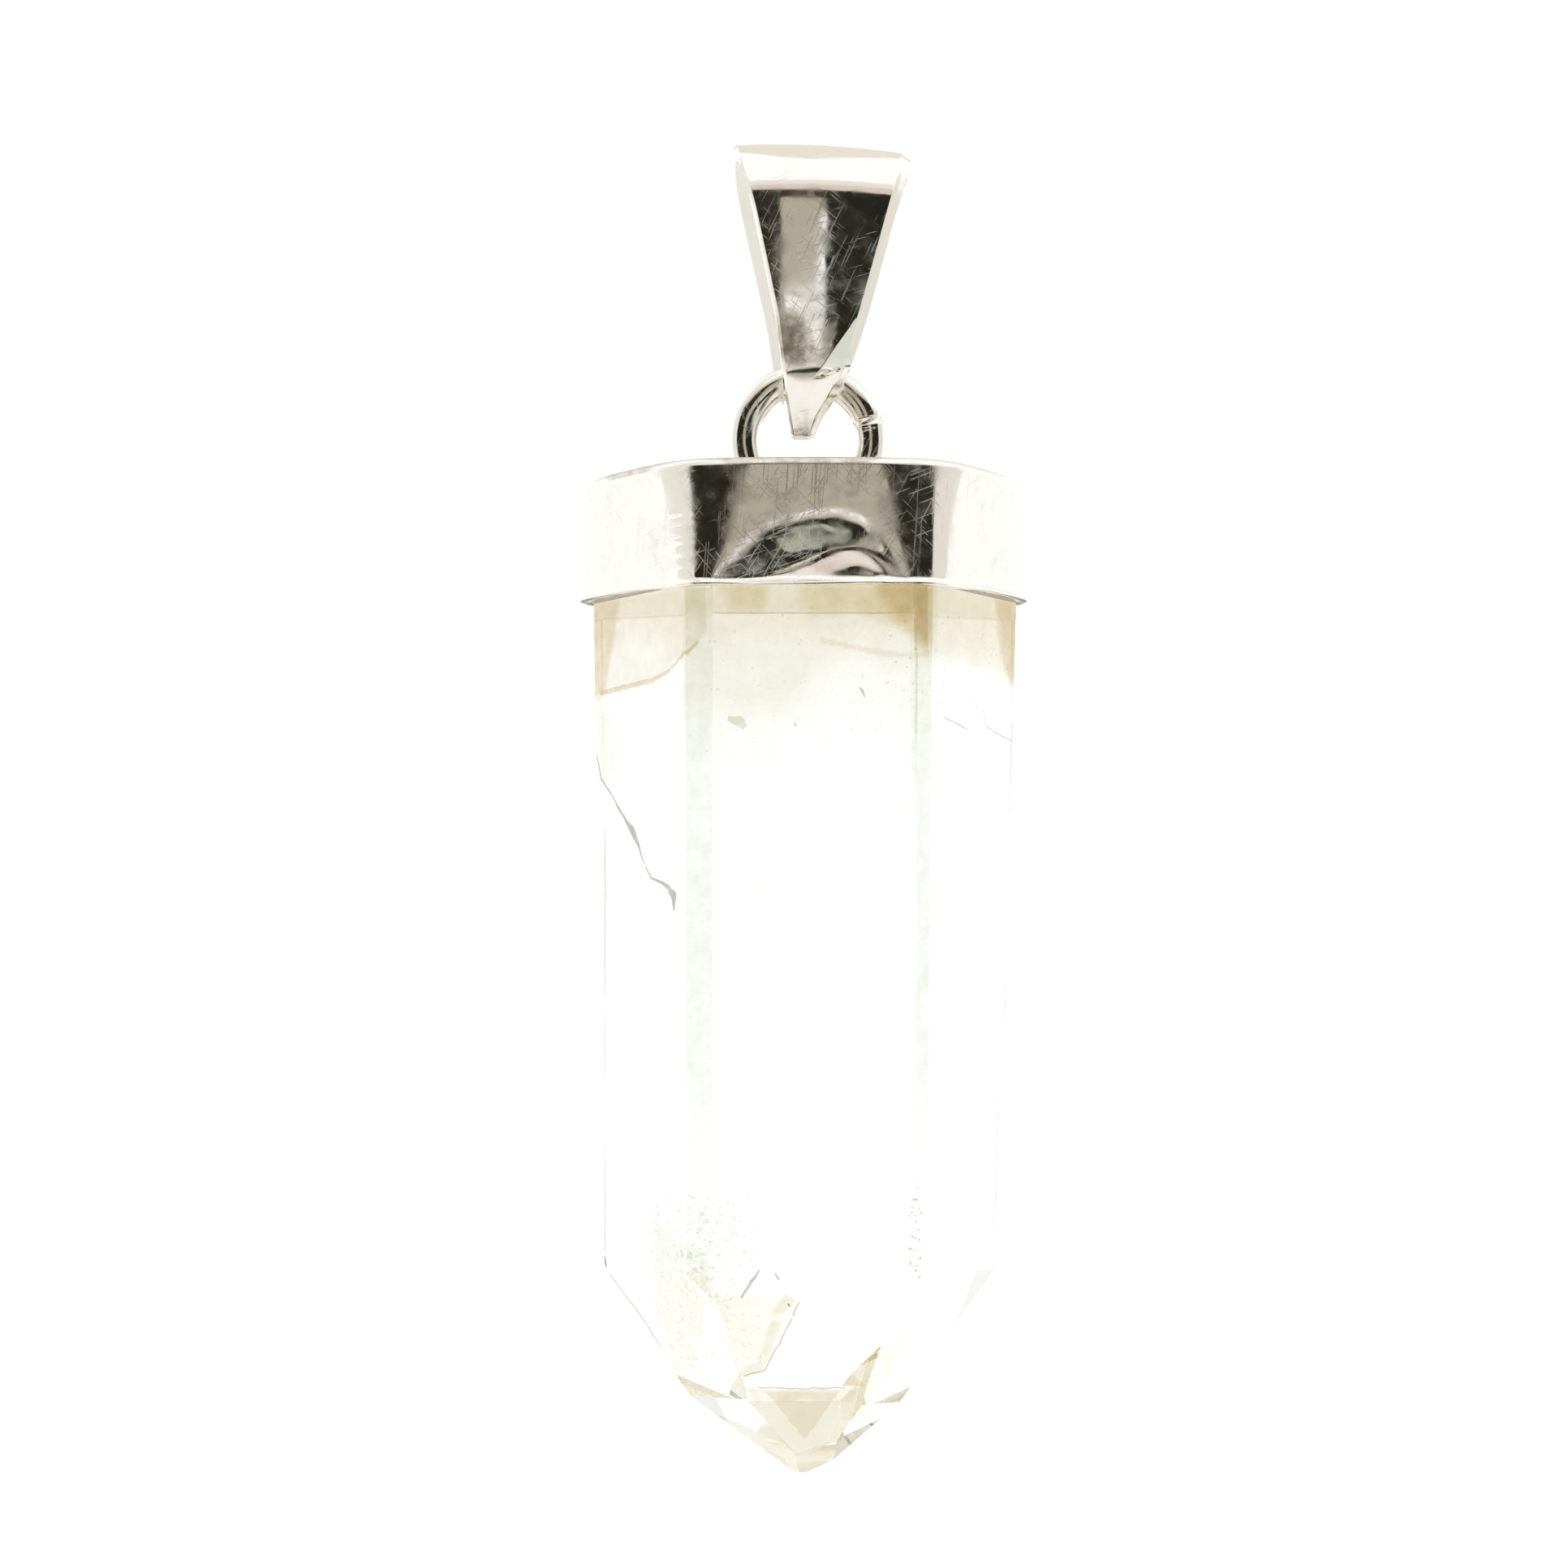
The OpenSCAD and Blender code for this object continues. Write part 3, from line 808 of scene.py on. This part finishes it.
def buildCrystal():
    form = SimpleNamespace(**crystalForm)
    polished, frosted, prism = [], [], []
    for azimuth, parts in stoneSides.items():
        prism.append(facePlane(azimuth, *parts["prism"]))
        polished += [facePlane(azimuth, *parts["slope"]), facePlane(azimuth, *parts["end"])]
    chipped = [facePlane(azimuth, distance, lean, apexZ + height)
               for azimuth, distance, height, lean in (form.sideFlat, *form.chips)]
    polished.append(chipped.pop(0))
    for i, (atRim, atShoulder) in enumerate(form.edgeWear):
        (pointA, normalA), (pointB, normalB) = prism[i], prism[(i + 1) % 6]
        along = normalA.cross(normalB).normalized()
        if along.z < 0:
            along = -along
        flat = (normalA + normalB).normalized()
        # a point where both faces meet, at the rim
        meet = Matrix((normalA, normalB, (0, 0, 1))).inverted() @ Vector((
            pointA.dot(normalA), pointB.dot(normalB), form.rimZ))
        upper, lower = meet - flat * atRim, meet - along * 24 - flat * atShoulder
        normal = (upper - lower).cross(along.cross(flat).normalized()).normalized()
        if normal.dot(flat) < 0:
            normal = -normal
        frosted.append((upper, normal))
    blunt = [(Vector((form.axisX, 0, apexZ + 0.02)), Vector((0, 0, -1)))]
    stonePlanes.extend(prism + polished + frosted + blunt)
    bm = bmesh.new()
    wide, deep, low = form.block
    block = (Matrix.Translation((form.axisX, 0, (form.topZ - low) / 2))
             @ Matrix.Diagonal((wide, deep, (form.topZ + low) / 2, 1)))
    bmesh.ops.create_cube(bm, size=2, matrix=block)
    for point, normal in prism + polished + frosted + chipped + blunt:
        cut = splitMesh(bm, point, normal, True)
        edges = [g for g in cut if isinstance(g, bmesh.types.BMEdge)]
        if len(edges) > 2:
            bmesh.ops.contextual_create(bm, geom=edges)
    bm.normal_update()
    for face in bm.faces:                  # the frosted bands and the chips have a finish of their own
        centre = face.calc_center_median()
        for index, planes in ((1, frosted), (2, chipped[:2] + blunt)):
            if any(abs((centre - point).dot(normal)) < 0.002 and abs(face.normal.dot(normal)) > 0.9999
                   for point, normal in planes):
                face.material_index = index
    # every edge is a little rounded by wear
    bmesh.ops.bevel(bm, geom=[e for e in bm.edges if min(v.co.z for v in e.verts) < form.topZ - 1],
                    offset=form.wear, offset_type="OFFSET", segments=2, profile=0.5, affect="EDGES",
                    clamp_overlap=True, material=2)
    # the end inside the cap is ground narrower and covered in glue
    glueZ, groundZ = form.rimZ - form.glueUnder, form.rimZ + form.groundOver
    for height in (glueZ, groundZ):
        splitMesh(bm, (0, 0, height), (0, 0, 1))
    for vertex in bm.verts:
        if vertex.co.z > groundZ - 0.03:
            vertex.co.x = form.axisX + (vertex.co.x - form.axisX) * form.insideCap
            vertex.co.y *= form.insideCap
    for face in bm.faces:
        if face.calc_center_median().z > glueZ:
            face.material_index = 3
    bmesh.ops.triangulate(bm, faces=bm.faces)
    bmesh.ops.recalc_face_normals(bm, faces=bm.faces)
    mesh = meshOf("crystalPoint", bm, clearQuartz, frostedQuartz, wornQuartz, glue)
    finishPiece("crystalPoint", mesh, "drop", "crystal")


buildCrystal()


# What lies inside the stone: healed cracks, tan films under the cap, flakes and a dark grain.
# Places are (across, height) on one part of one of the stone's sides: across from the middle of
# the side, to the right as one looks at it. Every film lies a little under its face.

veilForm = {
    "step": 0.16, "fineStep": 0.1, "crackStep": 0.12,
    "wander": 0.5,                         # of a film's outline, as a share of its softness
    "wave": 0.1,                           # of its depth
    "jitter": 0.05,                        # of a crack's path
    "films": (
        # side, part, depth, softness of the outline, stain, density, outline
        (300, "prism", 0.5, 0.1, "#F3EEE5", 0.9, (
            (-4.2, -16.3), (6.1, -16.6), (3.9, -18.2), (1.93, -19.38), (0.45, -19.6), (-4.2, -19.8))),
        (300, "prism", 0.3, 0.2, "#EADFC8", 0.9, (
            (-4.3, -16.3), (-2.0, -16.4), (-2.55, -18.2), (-3.2, -19.65), (-3.7, -20.1), (-4.3, -19.8))),
        (300, "prism", 0.35, 0.25, "#F3F4ED", 0.8, (
            (-4.2, -20.1), (-2.6, -20.6), (-2.2, -21.7), (-2.4, -22.8), (-3.8, -23.2), (-4.2, -22.8))),
        (0, "prism", 0.9, 0.7, "#F5F2EB", 0.9, (
            (-4.8, -16.3), (4.8, -16.3), (4.6, -18.8), (3.6, -19.5), (2.3, -18.9), (1.1, -18.9),
            (0.4, -20.0), (-0.6, -20.7), (-2.1, -21.2), (-3.0, -20.6), (-4.8, -21.2))),
        (0, "prism", 0.6, 0.3, "#EBE1CC", 0.9, (
            (-3.1, -16.3), (-1.2, -16.3), (-1.6, -17.4), (-2.6, -17.3))),
        (0, "prism", 0.5, 0.35, "#F0E7D3", 1.0, (
            (-0.3, -16.3), (4.8, -16.3), (4.5, -18.5), (3.0, -17.7), (1.8, -17.3), (0.3, -17.6))),
        (0, "prism", 0.3, 0.3, "#E8DBBF", 1.0, (
            (2.5, -16.3), (4.8, -16.3), (4.6, -18.9), (3.7, -18.2), (3.0, -17.3))),
        (0, "prism", 0.4, 0.12, "#EEE5D2", 0.9, (
            (0.6, -18.3), (2.4, -18.75), (3.9, -18.95), (4.5, -18.8), (4.5, -19.05), (2.6, -18.95),
            (0.6, -18.5))),
        (62, "prism", 0.5, 0.5, "#F0EADC", 0.9, (
            (-4.2, -16.3), (4.2, -16.3), (4.2, -19.5), (1.5, -19.0), (-2.5, -19.0), (-4.2, -18.6))),
        (62, "prism", 0.3, 0.25, "#E4D5B6", 0.9, (
            (1.9, -16.3), (4.2, -16.3), (4.0, -19.6), (3.1, -19.4), (2.3, -18.2))),
        (0, "prism", 2.6, 1.2, "#FAFAF6", 0.8, (
            (-4.6, -16.3), (4.6, -16.3), (4.2, -21.0), (1.0, -20.4), (-1.5, -22.2), (-4.2, -22.0))),
        (180, "prism", 0.1, 0.6, "#F8F3EA", 0.95, (
            (-4.2, -15.9), (4.2, -15.9), (4.2, -17.3), (2.9, -17.6), (1.6, -17.1), (0.1, -17.3),
            (-1.4, -17.7), (-2.6, -17.2), (-4.2, -17.4))),
        (300, "slope", 0.4, 0.3, "#F5F0E7", 0.8, (
            (0.1, -40.9), (-1.0, -42.0), (-1.8, -43.5), (-2.7, -44.6), (-0.8, -44.6), (4.0, -41.0))),
        (300, "prism", 0.5, 0.3, "#F0F3EA", 0.8, (
            (0.2, -38.5), (-0.2, -39.5), (-0.35, -40.8), (3.8, -40.8), (2.8, -40.1), (0.85, -39.4))),
        (0, "prism", 0.35, 0.3, "#F8F4EC", 0.8, (
            (-4.3, -40.0), (-3.6, -40.6), (-3.0, -41.6), (-0.9, -41.9), (-0.5, -41.8), (-0.9, -42.5),
            (-4.3, -42.5))),
        (0, "slope", 0.35, 0.25, "#F7F2E8", 0.8, (
            (-3.9, -42.6), (-0.9, -42.6), (-1.5, -43.9), (-2.5, -44.4), (-3.3, -44.4))),
        (0, "prism", 0.3, 0.1, "#F0E8D6", 0.85, (
            (-0.25, -42.0), (-0.75, -42.5), (-1.2, -42.5), (-0.62, -41.7))),
        (0, "slope", 0.3, 0.1, "#F0E8D6", 0.85, (
            (-0.7, -42.6), (-1.4, -44.45), (-2.5, -44.75), (-2.4, -44.4), (-1.65, -44.1), (-1.15, -42.6))),
        (0, "end", 0.3, 0.05, "#EEE7DA", 0.9, ((-1.45, -45.15), (1.35, -45.15), (0.05, -47.0))),
        (0, "end", 0.2, 0.04, "#F3ECDD", 0.9, (
            (-2.15, -45.08), (2.0, -45.08), (1.7, -45.58), (-1.8, -45.58))),
        (62, "slope", 0.25, 0.06, "#F3EDE0", 0.9, (
            (-5.6, -45.0), (-3.6, -43.95), (-1.57, -42.82), (-1.5, -44.34), (-1.35, -46.3), (-5.6, -46.3)))),
    "cracks": (
        # side, part, depth, stain, density, (across, height, width) along the crack
        (300, "prism", 0.08, "#9BA192", 0.9, (
            (-3.75, -22.0, 0.05), (-3.4, -22.95, 0.1), (-2.77, -23.44, 0.06), (-1.52, -24.57, 0.14),
            (-0.96, -25.04, 0.34), (-0.47, -25.67, 0.14), (-0.11, -26.28, 0.05))),
        (300, "prism", 0.08, "#A2A899", 0.9, (
            (0.0, -26.35, 0.06), (0.4, -26.8, 0.08), (1.24, -27.02, 0.12), (1.73, -27.22, 0.2),
            (2.09, -27.56, 0.4), (2.14, -28.06, 0.08))),
        (300, "prism", 0.3, "#E4D7BA", 0.9, (
            (-3.6, -19.75, 0.18), (-1.5, -19.68, 0.2), (0.45, -19.61, 0.2), (1.81, -19.37, 0.12))),
        (300, "prism", 0.3, "#E8DDC4", 0.9, (
            (1.9, -19.3, 0.1), (3.4, -18.6, 0.15), (6.1, -17.1, 0.14))),
        # worn edges, seen as thin broken lines
        (300, "prism", 0.05, "#A6ACA6", 0.85, (
            (-3.12, -24.7, 0.03), (-3.14, -26.0, 0.09), (-3.2, -29.5, 0.07), (-3.22, -31.0, 0.04))),
        (300, "prism", 0.05, "#B2B7B1", 0.8, (
            (-3.23, -31.6, 0.04), (-3.25, -33.2, 0.06), (-3.27, -34.0, 0.03))),
        (300, "prism", 0.05, "#AEB3AD", 0.8, (
            (-3.3, -36.4, 0.03), (-3.34, -38.0, 0.06), (-3.38, -40.3, 0.07))),
        (300, "prism", 0.04, "#C2C6BF", 0.8, (
            (-3.86, -19.9, 0.03), (-3.87, -21.5, 0.04), (-3.84, -22.8, 0.02))),
        (300, "prism", 0.05, "#B2B7B1", 0.8, (
            (-3.74, -35.2, 0.03), (-3.72, -37.8, 0.06), (-3.68, -39.9, 0.06))),
        (300, "slope", 0.04, "#979C95", 0.9, (
            (-3.13, -40.97, 0.07), (-2.87, -41.7, 0.09), (-2.5, -42.38, 0.08), (-2.22, -43.23, 0.08),
            (-2.1, -43.8, 0.06))),
        (300, "slope", 0.04, "#B2B7B1", 0.8, ((-2.14, -44.5, 0.05), (-2.08, -45.2, 0.04))),
        (300, "end", 0.04, "#979C95", 0.9, (
            (-1.92, -45.8, 0.07), (-1.7, -46.4, 0.09), (-1.14, -47.05, 0.08), (-0.62, -47.45, 0.06))),
        (62, "prism", 0.05, "#AEB2A8", 0.75, (
            (3.2, -20.9, 0.04), (3.16, -22.1, 0.06), (3.15, -24.2, 0.03))),
        (62, "prism", 0.05, "#B8BCB4", 0.7, (
            (3.17, -27.1, 0.03), (2.99, -30.1, 0.05), (2.8, -32.4, 0.03))),
        (62, "prism", 0.05, "#B8BCB4", 0.7, (
            (2.57, -34.6, 0.03), (2.38, -37.6, 0.06), (2.24, -39.6, 0.04))),
        (62, "prism", 0.08, "#A3A79E", 0.8, (
            (-2.4, -21.1, 0.05), (-1.6, -21.2, 0.04), (-0.9, -21.32, 0.06), (-0.5, -21.4, 0.03))),
        (62, "prism", 0.08, "#B3B7AD", 0.8, (
            (0.9, -20.75, 0.05), (1.1, -21.15, 0.06), (1.7, -21.3, 0.04), (3.7, -21.6, 0.05))),
        # small healed cracks, the dark grain and a chip
        (0, "prism", 0.1, "#9DA196", 0.7, (
            (2.0, -20.15, 0.05), (2.1, -20.3, 0.1), (2.18, -20.5, 0.04))),
        (0, "prism", 0.1, "#9DA196", 0.6, ((-0.3, -21.4, 0.09), (-0.25, -21.55, 0.08))),
        (0, "prism", 0.1, "#D6DAC8", 0.75, (
            (-2.7, -21.25, 0.15), (-2.3, -21.35, 0.4), (-2.1, -21.6, 0.2))),
        (0, "prism", 0.2, "#A9ADA6", 0.8, (
            (-2.2, -41.9, 0.07), (-1.85, -41.3, 0.12), (-1.55, -40.9, 0.05))),
        (0, "prism", 0.2, "#B4B7AC", 0.8, ((-1.0, -41.0, 0.05), (-0.88, -41.25, 0.08))),
        (0, "prism", 0.05, "#4A4A44", 0.85, ((-0.56, -42.09, 0.05), (-0.5, -42.18, 0.06))),
        (300, "prism", 0.06, "#74786F", 0.85, (
            (-3.46, -40.45, 0.05), (-3.38, -40.7, 0.16), (-3.26, -40.9, 0.06))),
        (0, "end", 0.05, "#BFC0B8", 0.8, (
            (-1.6, -45.1, 0.06), (0.0, -45.14, 0.05), (1.5, -45.1, 0.06))),
        (0, "prism", 0.05, "#C2BBA4", 0.85, ((-0.15, -42.05, 0.05), (-0.4, -42.52, 0.06))),
        (0, "slope", 0.05, "#C2BBA4", 0.85, (
            (-0.42, -42.6, 0.05), (-1.37, -44.46, 0.06), (-2.4, -44.76, 0.05)))),
}


def underFace(azimuth, part, across, height, depth):
    distance, lean, start = stoneSides[azimuth][part]
    a, lean = radians(azimuth), radians(lean)
    reach = distance + (height - start) * tan(lean) - depth / cos(lean)
    return Vector((crystalForm["axisX"] + sin(a) * reach + cos(a) * across,
                   -cos(a) * reach + sin(a) * across, height))


def insideStone(point, margin=0.05):
    return all((point - at).dot(normal) < -margin for at, normal in stonePlanes)


def insideOutline(x, y, outline):          # signed distance to a closed outline, positive inside
    nearest, inside = 1e9, False
    for (ax, ay), (bx, by) in zip(outline, outline[1:] + outline[:1]):
        dx, dy = bx - ax, by - ay
        t = min(max(((x - ax) * dx + (y - ay) * dy) / (dx * dx + dy * dy), 0), 1)
        nearest = min(nearest, hypot(x - ax - t * dx, y - ay - t * dy))
        if (ay > y) != (by > y) and x < ax + (y - ay) / (by - ay) * dx:
            inside = not inside
    return nearest if inside else -nearest


def buildVeils():
    form = SimpleNamespace(**veilForm)
    bm = bmesh.new()
    layer = bm.verts.layers.float_color.new("film")

    def addVertex(place, hexColour, density):
        vertex = bm.verts.new(place)
        vertex[layer] = linear(hexColour)[:3] + (density,)
        return vertex
    for azimuth, part, depth, softness, hexColour, density, outline in form.films:
        step = form.fineStep if softness < 0.2 else form.step
        low = [min(p[i] for p in outline) - softness for i in (0, 1)]
        high = [max(p[i] for p in outline) + softness for i in (0, 1)]
        columns, rows = (int((high[i] - low[i]) / step) + 1 for i in (0, 1))
        grid = {}
        for i in range(columns + 1):
            for j in range(rows + 1):
                x, z = low[0] + i * step, min(low[1] + j * step, crystalForm["rimZ"] - 0.02)
                wander = form.wander * softness * noise(Vector((x * 0.9, z * 0.9, azimuth)))
                edge = insideOutline(x, z, outline) + wander
                if edge < -softness:
                    continue
                strength = density * smoothStep(-softness, softness, edge)
                wave = form.wave * depth * noise(Vector((x * 0.5, z * 0.5, 4)))
                place = underFace(azimuth, part, x, z, depth + wave)
                if insideStone(place):
                    grid[i, j] = addVertex(place, hexColour, strength)
        for i, j in list(grid):
            corners = [grid.get(key) for key in ((i, j), (i + 1, j), (i + 1, j + 1), (i, j + 1))]
            if all(corners):
                bm.faces.new(corners)
    for azimuth, part, depth, hexColour, density, path in form.cracks:
        points = []
        for a, b in zip(path, path[1:]):
            count = max(2, int(hypot(b[0] - a[0], b[1] - a[1]) / form.crackStep))
            points += [[p + (q - p) * k / count for p, q in zip(a, b)] for k in range(count)]
        points.append(path[-1])
        last = None
        for k, (x, z, width) in enumerate(points):
            before, after = points[max(k - 1, 0)], points[min(k + 1, len(points) - 1)]
            along = Vector((after[0] - before[0], after[1] - before[1])).normalized()
            jitter = form.jitter * noise(Vector((x * 3, z * 3, azimuth)))
            places = [underFace(azimuth, part, x - along.y * offset, z + along.x * offset, depth)
                      for offset in (jitter - width / 2, jitter + width / 2)]
            if not all(insideStone(place, 0.02) for place in places):
                last = None
                continue
            pair = [addVertex(place, hexColour, density) for place in places]
            if last:
                joinRows(bm, (last, pair), closed=False)
            last = pair
    finishPiece("quartzVeils", meshOf("quartzVeils", bm, film), "drop", "crystal")


buildVeils()


# Flakes and tiny fluid bubbles, strewn through the stone near one face

flakeForm = {
    "layers": 5, "corners": 5, "tilt": 1.2, "firstSeed": 3,
    "patches": (
        # side, part, nearest and furthest depth, flakes per square mm, flake size, stain, outline
        (300, "prism", 0.3, 2.4, 16, 0.22, "#F2F3EC", (
            (-0.6, -38.2), (3.9, -38.2), (3.9, -41.0), (-0.6, -41.0))),
        (300, "slope", 0.3, 1.8, 15, 0.19, "#F9F3EC", (
            (-0.4, -40.9), (-1.8, -43.5), (-2.7, -44.5), (1.2, -44.5), (4.2, -40.9))),
        (0, "prism", 0.3, 2.2, 14, 0.18, "#F0F1E9", (
            (-4.4, -37.8), (-3.4, -38.6), (-2.6, -41.0), (-1.8, -42.2), (-4.4, -42.2))),
        (0, "prism", 0.3, 3.0, 3, 0.15, "#F3F2EA", (
            (-4.4, -16.5), (4.4, -16.5), (4.0, -21.8), (-3.6, -22.6))),
        (0, "prism", 0.1, 0.5, 18, 0.13, "#C9C7B2", (
            (3.75, -37.5), (4.15, -37.5), (4.15, -42.6), (3.75, -42.6))),
        (62, "prism", 0.4, 2.4, 4, 0.12, "#E4E6DC", (
            (-3.6, -17.2), (3.6, -17.0), (3.4, -21.6), (-3.4, -20.6)))),
}


def flakeTree():
    tree, add, given = newShapeTree("flakes strewn through the stone", {
        "ground": "Geometry", "perArea": "Float", "flakeSize": "Float", "seed": "Int", "stain": "Color",
        "mineral": "Material"})
    seed, tilt = given["seed"], flakeForm["tilt"]
    strewn = add("GeometryNodeDistributePointsOnFaces", {
        "Mesh": given["ground"], "Density": given["perArea"], "Seed": seed})
    flake = add("GeometryNodeMeshCircle", {"Vertices": flakeForm["corners"], "Radius": 1.0},
                fill_type="NGON")
    turned = add("FunctionNodeRandomValue", {
        "Min": (-tilt, -tilt, 0.0), "Max": (tilt, tilt, 6.3), "Seed": seed}, data_type="FLOAT_VECTOR")
    sized = add("FunctionNodeRandomValue", {2: 0.15, 3: 0.75, "Seed": seed}, data_type="FLOAT")
    scaled = add("Math MULTIPLY", add("Math MULTIPLY", sized, sized), given["flakeSize"])
    size = add("CombineXYZ", scaled, scaled, 0.01)
    placed = add("GeometryNodeInstanceOnPoints", {
        "Points": strewn, "Instance": flake, "Rotation": turned, "Scale": size})
    real = add("GeometryNodeRealizeInstances", placed)
    stained = add("GeometryNodeStoreNamedAttribute", {
        "Geometry": real, "Name": "film", "Value": given["stain"]},
        data_type="FLOAT_COLOR", domain="POINT")
    endTree(add, stained, given["mineral"])
    return tree


def buildFlakes():
    form = SimpleNamespace(**flakeForm)
    tree = flakeTree()
    together = bmesh.new()
    for seed, patch in enumerate(form.patches, form.firstSeed):
        azimuth, part, nearest, furthest, perArea, size, stain, outline = patch
        ground = bmesh.new()
        for k in range(form.layers):
            depth = nearest + (furthest - nearest) * k / (form.layers - 1)
            ground.faces.new([ground.verts.new(underFace(azimuth, part, x, z, depth))
                              for x, z in outline])
        together.from_mesh(growMesh("flakes", tree, {
            "perArea": perArea / form.layers * 2, "flakeSize": size, "seed": seed,
            "stain": linear(stain), "mineral": film}, meshOf("flake ground", ground)))
    outside = [v for v in together.verts if not insideStone(v.co, 0.03)]
    bmesh.ops.delete(together, geom=outside, context="VERTS")
    finishPiece("quartzFlakes", meshOf("quartzFlakes", together, film), "drop", "crystal")


buildFlakes()


# Stage: pale floor, even soft light, and what the polished metal mirrors

roomForm = {
    "middle": (-0.6, 0, -10), "columns": 24, "rows": 12,
    "patches": (
        # name, azimuths, elevations, distance, colour, and where they differ strength and rays
        ("dark room in front", (-62, 64), (-26, 33), 1000, "#25251E"),
        ("pale middle of the room", (-10, 10), (-3, 23), 980, "#B7AF9F"),
        ("lamp low in the middle", (-8, 10), (-5.5, -2.8), 970, "#FFFFFF"),
        ("lamp at the right", (6.8, 10.4), (-3.4, 3), 960, "#FFFFFF"),
        ("glow under the lamp", (-45, 16), (-9, -5.5), 980, "#E2DACD"),
        ("end of the glow", (-45, 13), (-12, -9), 980, "#B9B5A0"),
        ("ceiling edge", (-62, 64), (33, 42), 1000, "#E0D2C8"),
        ("ceiling", (-62, 64), (42, 50), 1000, "#F2EBE4"),
        ("left side of the room", (-104, -62), (-26, 70), 1000, "#F0EEE6"),
        ("right side of the room", (64, 108), (-26, 30), 1000, "#EBE6DE"),
        ("pale floor at the right", (28, 64), (-27, -3.5), 990, "#DDE0D8"),
        ("floor at the left", (-62, -20), (-27, -8), 990, "#C4C0AE"),
        ("back of the room", (148, 212), (24, 84), 1000, "#F0EADD"),
        ("back table edge", (140, 220), (-30, -6), 1000, "#96928A"),
        ("lamp behind", (200, 250), (12, 45), 1000, "#FFFFFF", 1.5, "glass"),
        ("table", (-34, 38), (-36, -26), 1000, "#B4B8A8"),
        ("table edge", (-34, 38), (-50, -36), 1000, "#3E3D38")),
}


def roomPatch(name, azimuths, elevations, distance, colour, strength=1.0, rays="glossy"):
    columns, rows = roomForm["columns"], roomForm["rows"]
    bm = bmesh.new()
    grid = []
    for j in range(rows + 1):
        e = radians(elevations[0] + (elevations[1] - elevations[0]) * j / rows)
        grid.append([])
        for i in range(columns + 1):
            a = radians(azimuths[0] + (azimuths[1] - azimuths[0]) * i / columns)
            towards = Vector((sin(a) * cos(e), -cos(a) * cos(e), sin(e)))
            grid[-1].append(bm.verts.new(towards * distance + Vector(roomForm["middle"])))
    joinRows(bm, grid, closed=False)
    material, add = newMaterial(name, colour)
    add("OutputMaterial", add("Emission", colour, strength))
    mesh = meshOf(name, bm, material)
    mesh.transform(toMetres)
    patch = addObject(name, mesh)
    patch.visible_camera = patch.visible_diffuse = False
    patch.visible_shadow = patch.visible_volume_scatter = False
    patch.visible_glossy, patch.visible_transmission = rays == "glossy", rays == "glass"


for patch in roomForm["patches"]:
    roomPatch(*patch)

floorForm = {"radius": 700, "z": -92, "colour": "#F7F7F5"}
floorMesh = bmesh.new()
bmesh.ops.create_circle(floorMesh, cap_ends=True, segments=96, radius=floorForm["radius"],
                        matrix=Matrix.Translation((0, 0, floorForm["z"])))
# Wood-free paper, calendered matt: white and even, with fibres of about 1 mm barely in relief.
paper, add = newMaterial("matt white paper", floorForm["colour"])
fibres = add("TexNoise", {"Vector": add("TexCoord").outputs["Object"], "Scale": 800.0, "Detail": 4.0})
relief = add("Bump", {"Height": fibres, "Distance": 0.00002})
add("OutputMaterial", add("BsdfPrincipled", {
    "Base Color": floorForm["colour"], "Roughness": 0.9, "Normal": relief}))
floorData = meshOf("floor", floorMesh, paper)
floorData.transform(toMetres)
floor = addObject("floor", floorData)
floor.visible_glossy = False

world = bpy.data.worlds.new("even white light")
scene.world = world
world.use_nodes = True
world.node_tree.nodes.clear()
add = partial(addNode, world.node_tree)
add("OutputWorld", add("Background", "#FFFFFF", 1.12))

scene.view_settings.view_transform = "Standard"
scene.view_settings.look = "None"
scene.cycles.use_denoising = True
scene.cycles.max_bounces = 64
scene.cycles.glossy_bounces = 48
scene.cycles.diffuse_bounces = 16      # light gathers in the glue and the cloudy films
scene.cycles.transmission_bounces = 48
scene.cycles.transparent_max_bounces = 32
scene.cycles.caustics_reflective = True    # the stone is lit through its own facets
scene.cycles.caustics_refractive = True
scene.cycles.blur_glossy = 0.0
scene.cycles.sample_clamp_indirect = 0.0
print("stage set")
